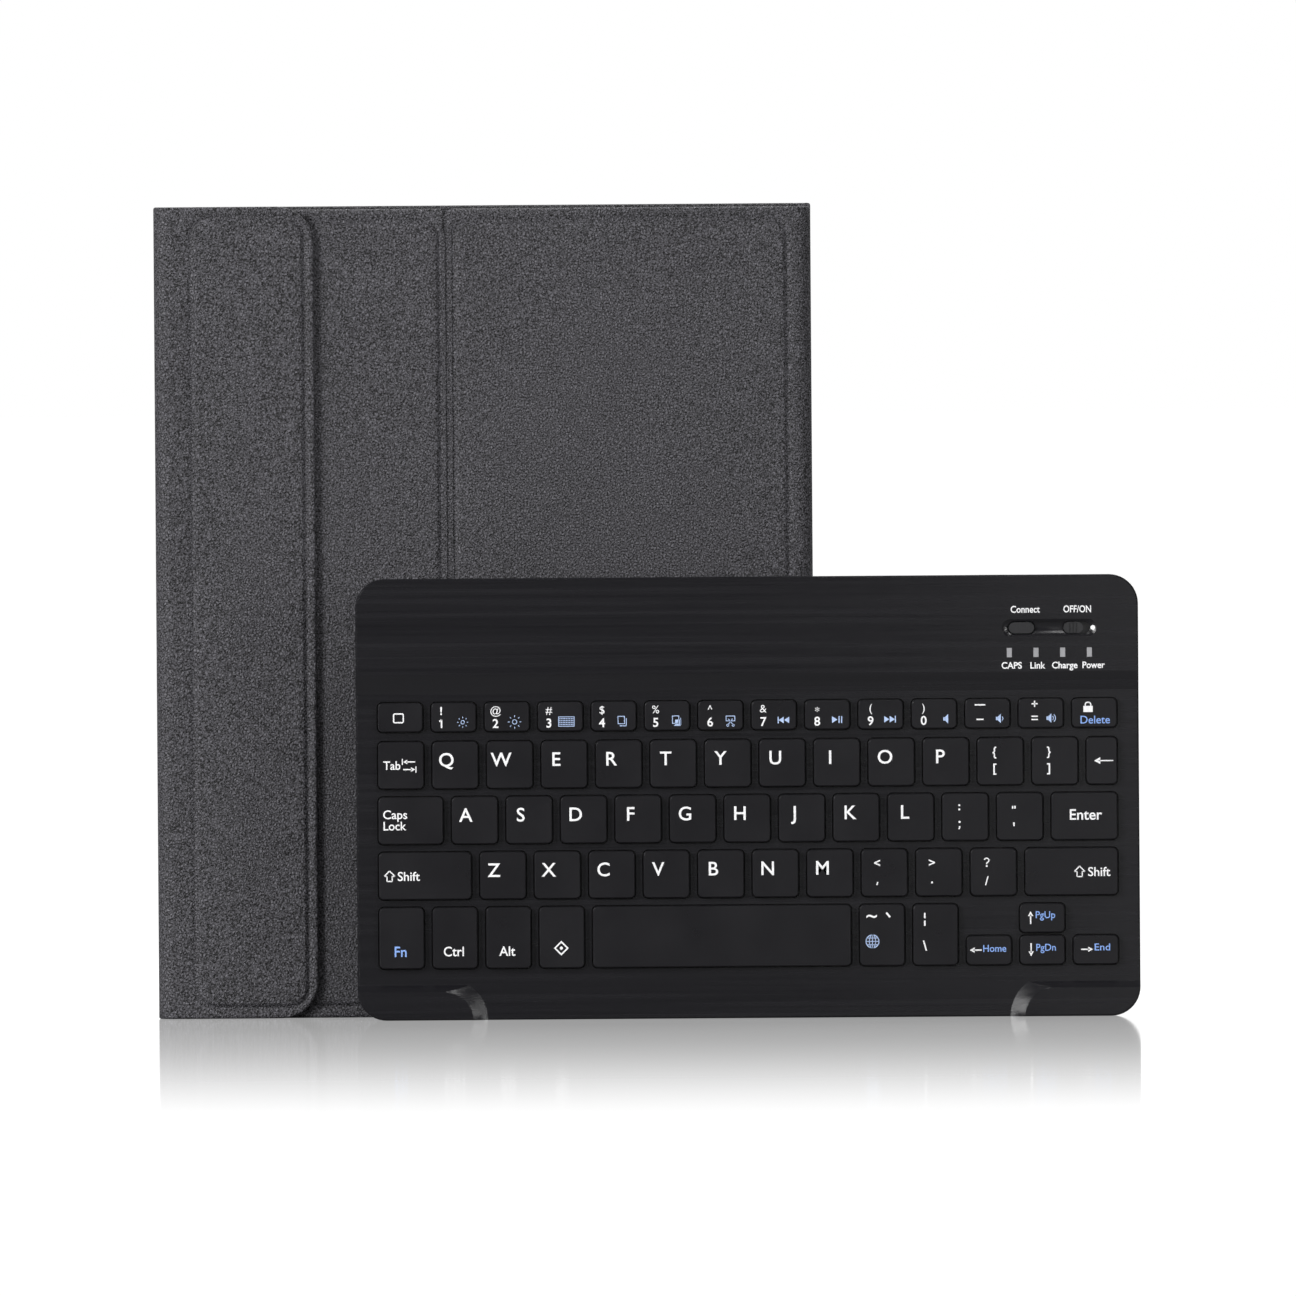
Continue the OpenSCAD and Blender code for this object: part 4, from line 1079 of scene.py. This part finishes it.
# Words on the raised band, above the switches and below the lights
p = Print("band_print_and_painted_highlight", "keyboard", BAND_FACE, "case_plastic")
lo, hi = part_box("connect_button")
slo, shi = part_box("power_slider")
bx, sx, sy = (lo.x + hi.x) / 2 / MM, (slo.x + shi.x) / 2 / MM, (lo.z + hi.z) / 2 / MM
p.words("Connect", bx + 1.15, sy + 5.75, 2.05, weight=0.05, wide=0.86)
p.words("OFF/ON", sx + 1.3, sy + 5.75, 2.05, weight=0.05, wide=0.8)
lo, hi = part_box("indicator_lenses")
first, pitch = lo.x / MM + 0.8, (hi.x - lo.x - 1.6 * MM) / 3 / MM
y = (lo.z + hi.z) / 2 / MM - 3.97
for i, (text, dx, wide) in enumerate((("CAPS", 0.7, 0.95), ("Link", 0.4, 0.95),
                                      ("Charge", 0.6, 0.95), ("Power", 1.2, 0.92))):
    p.words(text, first + i * pitch + dx, y, 1.95, weight=BOLD, wide=wide)


def scoop_painted_highlight(p, n=20):
    """A painted highlight: a white disc lying in the scoop's round end, standing in for its shine."""
    depth, height, width = 1.0, 5.4, 29.3   # of the scoop
    ball = (height * height / 4 + depth * depth) / (2 * depth)
    end_x = sx - 7.35 + (width - height) / 2
    highlight_x, highlight_r = end_x + 1.45, 0.72
    base = len(p.verts)
    for lift in (0.05, 0.11):
        for r in (0.0, highlight_r / 2, highlight_r):
            for q in range(n if r else 1):
                a = 2 * math.pi * q / n
                px, pz = highlight_x + r * math.cos(a), r * math.sin(a)
                deep = math.sqrt(ball ** 2 - (px - end_x) ** 2 - pz ** 2) - (ball - depth)
                p.verts.append((px * MM, BAND_FACE + (deep - lift - 0.01) * MM, (sy + pz) * MM))
    side = 2 * n + 1    # points on each of its two faces
    inner, outer = base + 1, base + 1 + n
    steps = [(q, (q + 1) % n) for q in range(n)]
    for h in (0, side):
        for q, m in steps:
            p.faces.append((base + h, inner + h + q, inner + h + m))
            p.faces.append((inner + h + q, outer + h + q, outer + h + m, inner + h + m))
    p.faces += [(outer + q, outer + side + q, outer + side + m, outer + m) for q, m in steps]
    p.mats += [0] * 5 * n


# The band's print also carries a painted highlight in the right round end of the switch scoop
scoop_painted_highlight(p)
p.make((WHITE,))

# ------------------------------------------------------------------ camera, light and floor


def look(cam, target, distance, azimuth, elevation, roll):
    """Turns the camera to the target, with the angles in degrees."""
    a, e = math.radians(azimuth), math.radians(elevation)
    back = Vector((math.sin(a) * math.cos(e), -math.cos(a) * math.cos(e), math.sin(e)))
    cam.location = target + back * distance
    q = (-back).to_track_quat("-Z", "Y")
    cam.rotation_mode = "QUATERNION"
    cam.rotation_quaternion = q @ Matrix.Rotation(math.radians(roll), 4, "Z").to_quaternion()


def emptied(holder, kind):
    """The node tree of a world or material, with only a new output node of this kind in it."""
    holder.use_nodes = True
    nt = holder.node_tree
    nt.nodes.clear()
    return nt, node(nt, kind)


def product(nt, a, b):
    """The product of a socket and a number or a second socket."""
    n = node(nt, "ShaderNodeMath", operation="MULTIPLY")
    nt.links.new(a, n.inputs[0])
    if isinstance(b, float):
        n.inputs[1].default_value = b
    else:
        nt.links.new(b, n.inputs[1])
    return n.outputs[0]


def mixed(nt, share, a, b):
    """Shader a, with this share of b."""
    n = node(nt, "ShaderNodeMixShader")
    for i, socket in enumerate((share, a, b)):
        nt.links.new(socket, n.inputs[i])
    return n.outputs[0]


WHITE_LIGHT = (1, 1, 1, 1)
DISTANCE = 8.0          # of the camera
PICTURE = 0.40199       # metres that the picture's width covers at that distance
SENSOR = 36

cam_data = bpy.data.cameras.new("camera")
cam = bpy.data.objects.new("camera", cam_data)
collection.objects.link(cam)
bpy.context.scene.camera = cam
cam_data.sensor_width = SENSOR
cam_data.lens = SENSOR * DISTANCE / PICTURE
cam_data.clip_start, cam_data.clip_end = 0.05, 60
look(cam, Vector((0.000515, 0.0, 0.114256)), DISTANCE, azimuth=0.36, elevation=0.878, roll=-0.414)

# The camera sees white. For reflections the studio is white behind the object and dark
# everywhere else, and it lights the object faintly from all sides.
AMBIENT = 0.34
world = bpy.data.worlds.new("studio")
bpy.context.scene.world = world
nt, out = emptied(world, "ShaderNodeOutputWorld")
ray = node(nt, "ShaderNodeLightPath")
direction = node(nt, "ShaderNodeSeparateXYZ")
nt.links.new(node(nt, "ShaderNodeTexCoord").outputs["Generated"], direction.inputs[0])
glossy = node(nt, "ShaderNodeBackground", Color=WHITE_LIGHT)
nt.links.new(spread(nt, direction.outputs["Y"], 0.1, 1.0, 0.55, 0.9), glossy.inputs["Strength"])
plain = node(nt, "ShaderNodeBackground", Color=WHITE_LIGHT, Strength=AMBIENT)
white = node(nt, "ShaderNodeBackground", Color=WHITE_LIGHT)
unseen = mixed(nt, ray.outputs["Is Glossy Ray"], plain.outputs[0], glossy.outputs[0])
nt.links.new(mixed(nt, ray.outputs["Is Camera Ray"], unseen, white.outputs[0]),
             out.inputs["Surface"])


def softbox(name, place, aim, size, power, height):
    d = bpy.data.lights.new(name, "AREA")
    d.shape = "RECTANGLE"
    d.size, d.size_y = size, height
    d.energy = power
    o = bpy.data.objects.new(name, d)
    o.location = place
    o.rotation_mode = "QUATERNION"
    o.rotation_quaternion = (Vector(aim) - Vector(place)).to_track_quat("-Z", "Y")
    collection.objects.link(o)


softbox("raking_light", (-1.38, -1.0, 0.8), (0, 0, 0.15), 0.5, 17, 0.8)
softbox("left_light", (-1.16, -1.05, 0.35), (0, 0, 0.1), 0.35, 9.0, 0.6)
softbox("right_light", (1.16, -1.05, 0.35), (0, 0, 0.1), 0.2, 4.6, 0.6)
softbox("top_light", (0.0, 0.4, 1.0), (0, 0.0, 0.2), 0.9, 6, 0.25)
softbox("front_light", (0.25, -0.85, 1.05), (0.05, 0, 0.12), 0.3, 3.0, 0.34)
# A faint sheen over the right end of the keyboard
softbox("sheen_light", (0.26, -0.9, 0.16), (0.26, 0, 0.12), 0.2, 0.28, 0.6)

REACH = 30.0            # half the floor's width
SEEN_GLOW = 0.95        # light that it gives off towards the camera, so that it shows white
POLISH = 0.94           # how much of it is mirror under the object
floor_mesh = bpy.data.meshes.new("floor")
floor_mesh.from_pydata([(-REACH, -REACH, 0), (REACH, -REACH, 0), (REACH, REACH, 0),
                        (-REACH, REACH, 0)], [], [(0, 1, 2, 3)])
floor = bpy.data.objects.new("floor", floor_mesh)
collection.objects.link(floor)
white_floor = bpy.data.materials.new("white_floor")
nt, out = emptied(white_floor, "ShaderNodeOutputMaterial")
ray = node(nt, "ShaderNodeLightPath")
diffuse = node(nt, "ShaderNodeBsdfDiffuse", Color=(0.22, 0.22, 0.22, 1))
glow = node(nt, "ShaderNodeEmission")
nt.links.new(product(nt, ray.outputs["Is Camera Ray"], SEEN_GLOW), glow.inputs["Strength"])
both = node(nt, "ShaderNodeAddShader")
nt.links.new(diffuse.outputs[0], both.inputs[0])
nt.links.new(glow.outputs[0], both.inputs[1])
mirror = node(nt, "ShaderNodeBsdfGlossy", Color=WHITE_LIGHT, Roughness=0.06)
# It is glossy under the object and turns matt towards the camera and behind the object
place = node(nt, "ShaderNodeSeparateXYZ")
nt.links.new(node(nt, "ShaderNodeTexCoord").outputs["Object"], place.inputs[0])
ahead = spread(nt, place.outputs["Y"], 0.0, POLISH, -1.28, -0.05, "SMOOTHSTEP")
behind = spread(nt, place.outputs["Y"], 1.0, 0.0, 0.03, 0.2)
# It reflects well only at a low angle, as a polished sheet does
graze = node(nt, "ShaderNodeFresnel", IOR=1.1)
share = product(nt, product(nt, ahead, behind), graze.outputs[0])
nt.links.new(mixed(nt, share, both.outputs[0], mirror.outputs[0]), out.inputs["Surface"])
floor_mesh.materials.append(white_floor)
floor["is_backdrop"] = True

bpy.context.scene.view_settings.view_transform = "Standard"

lo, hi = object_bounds()
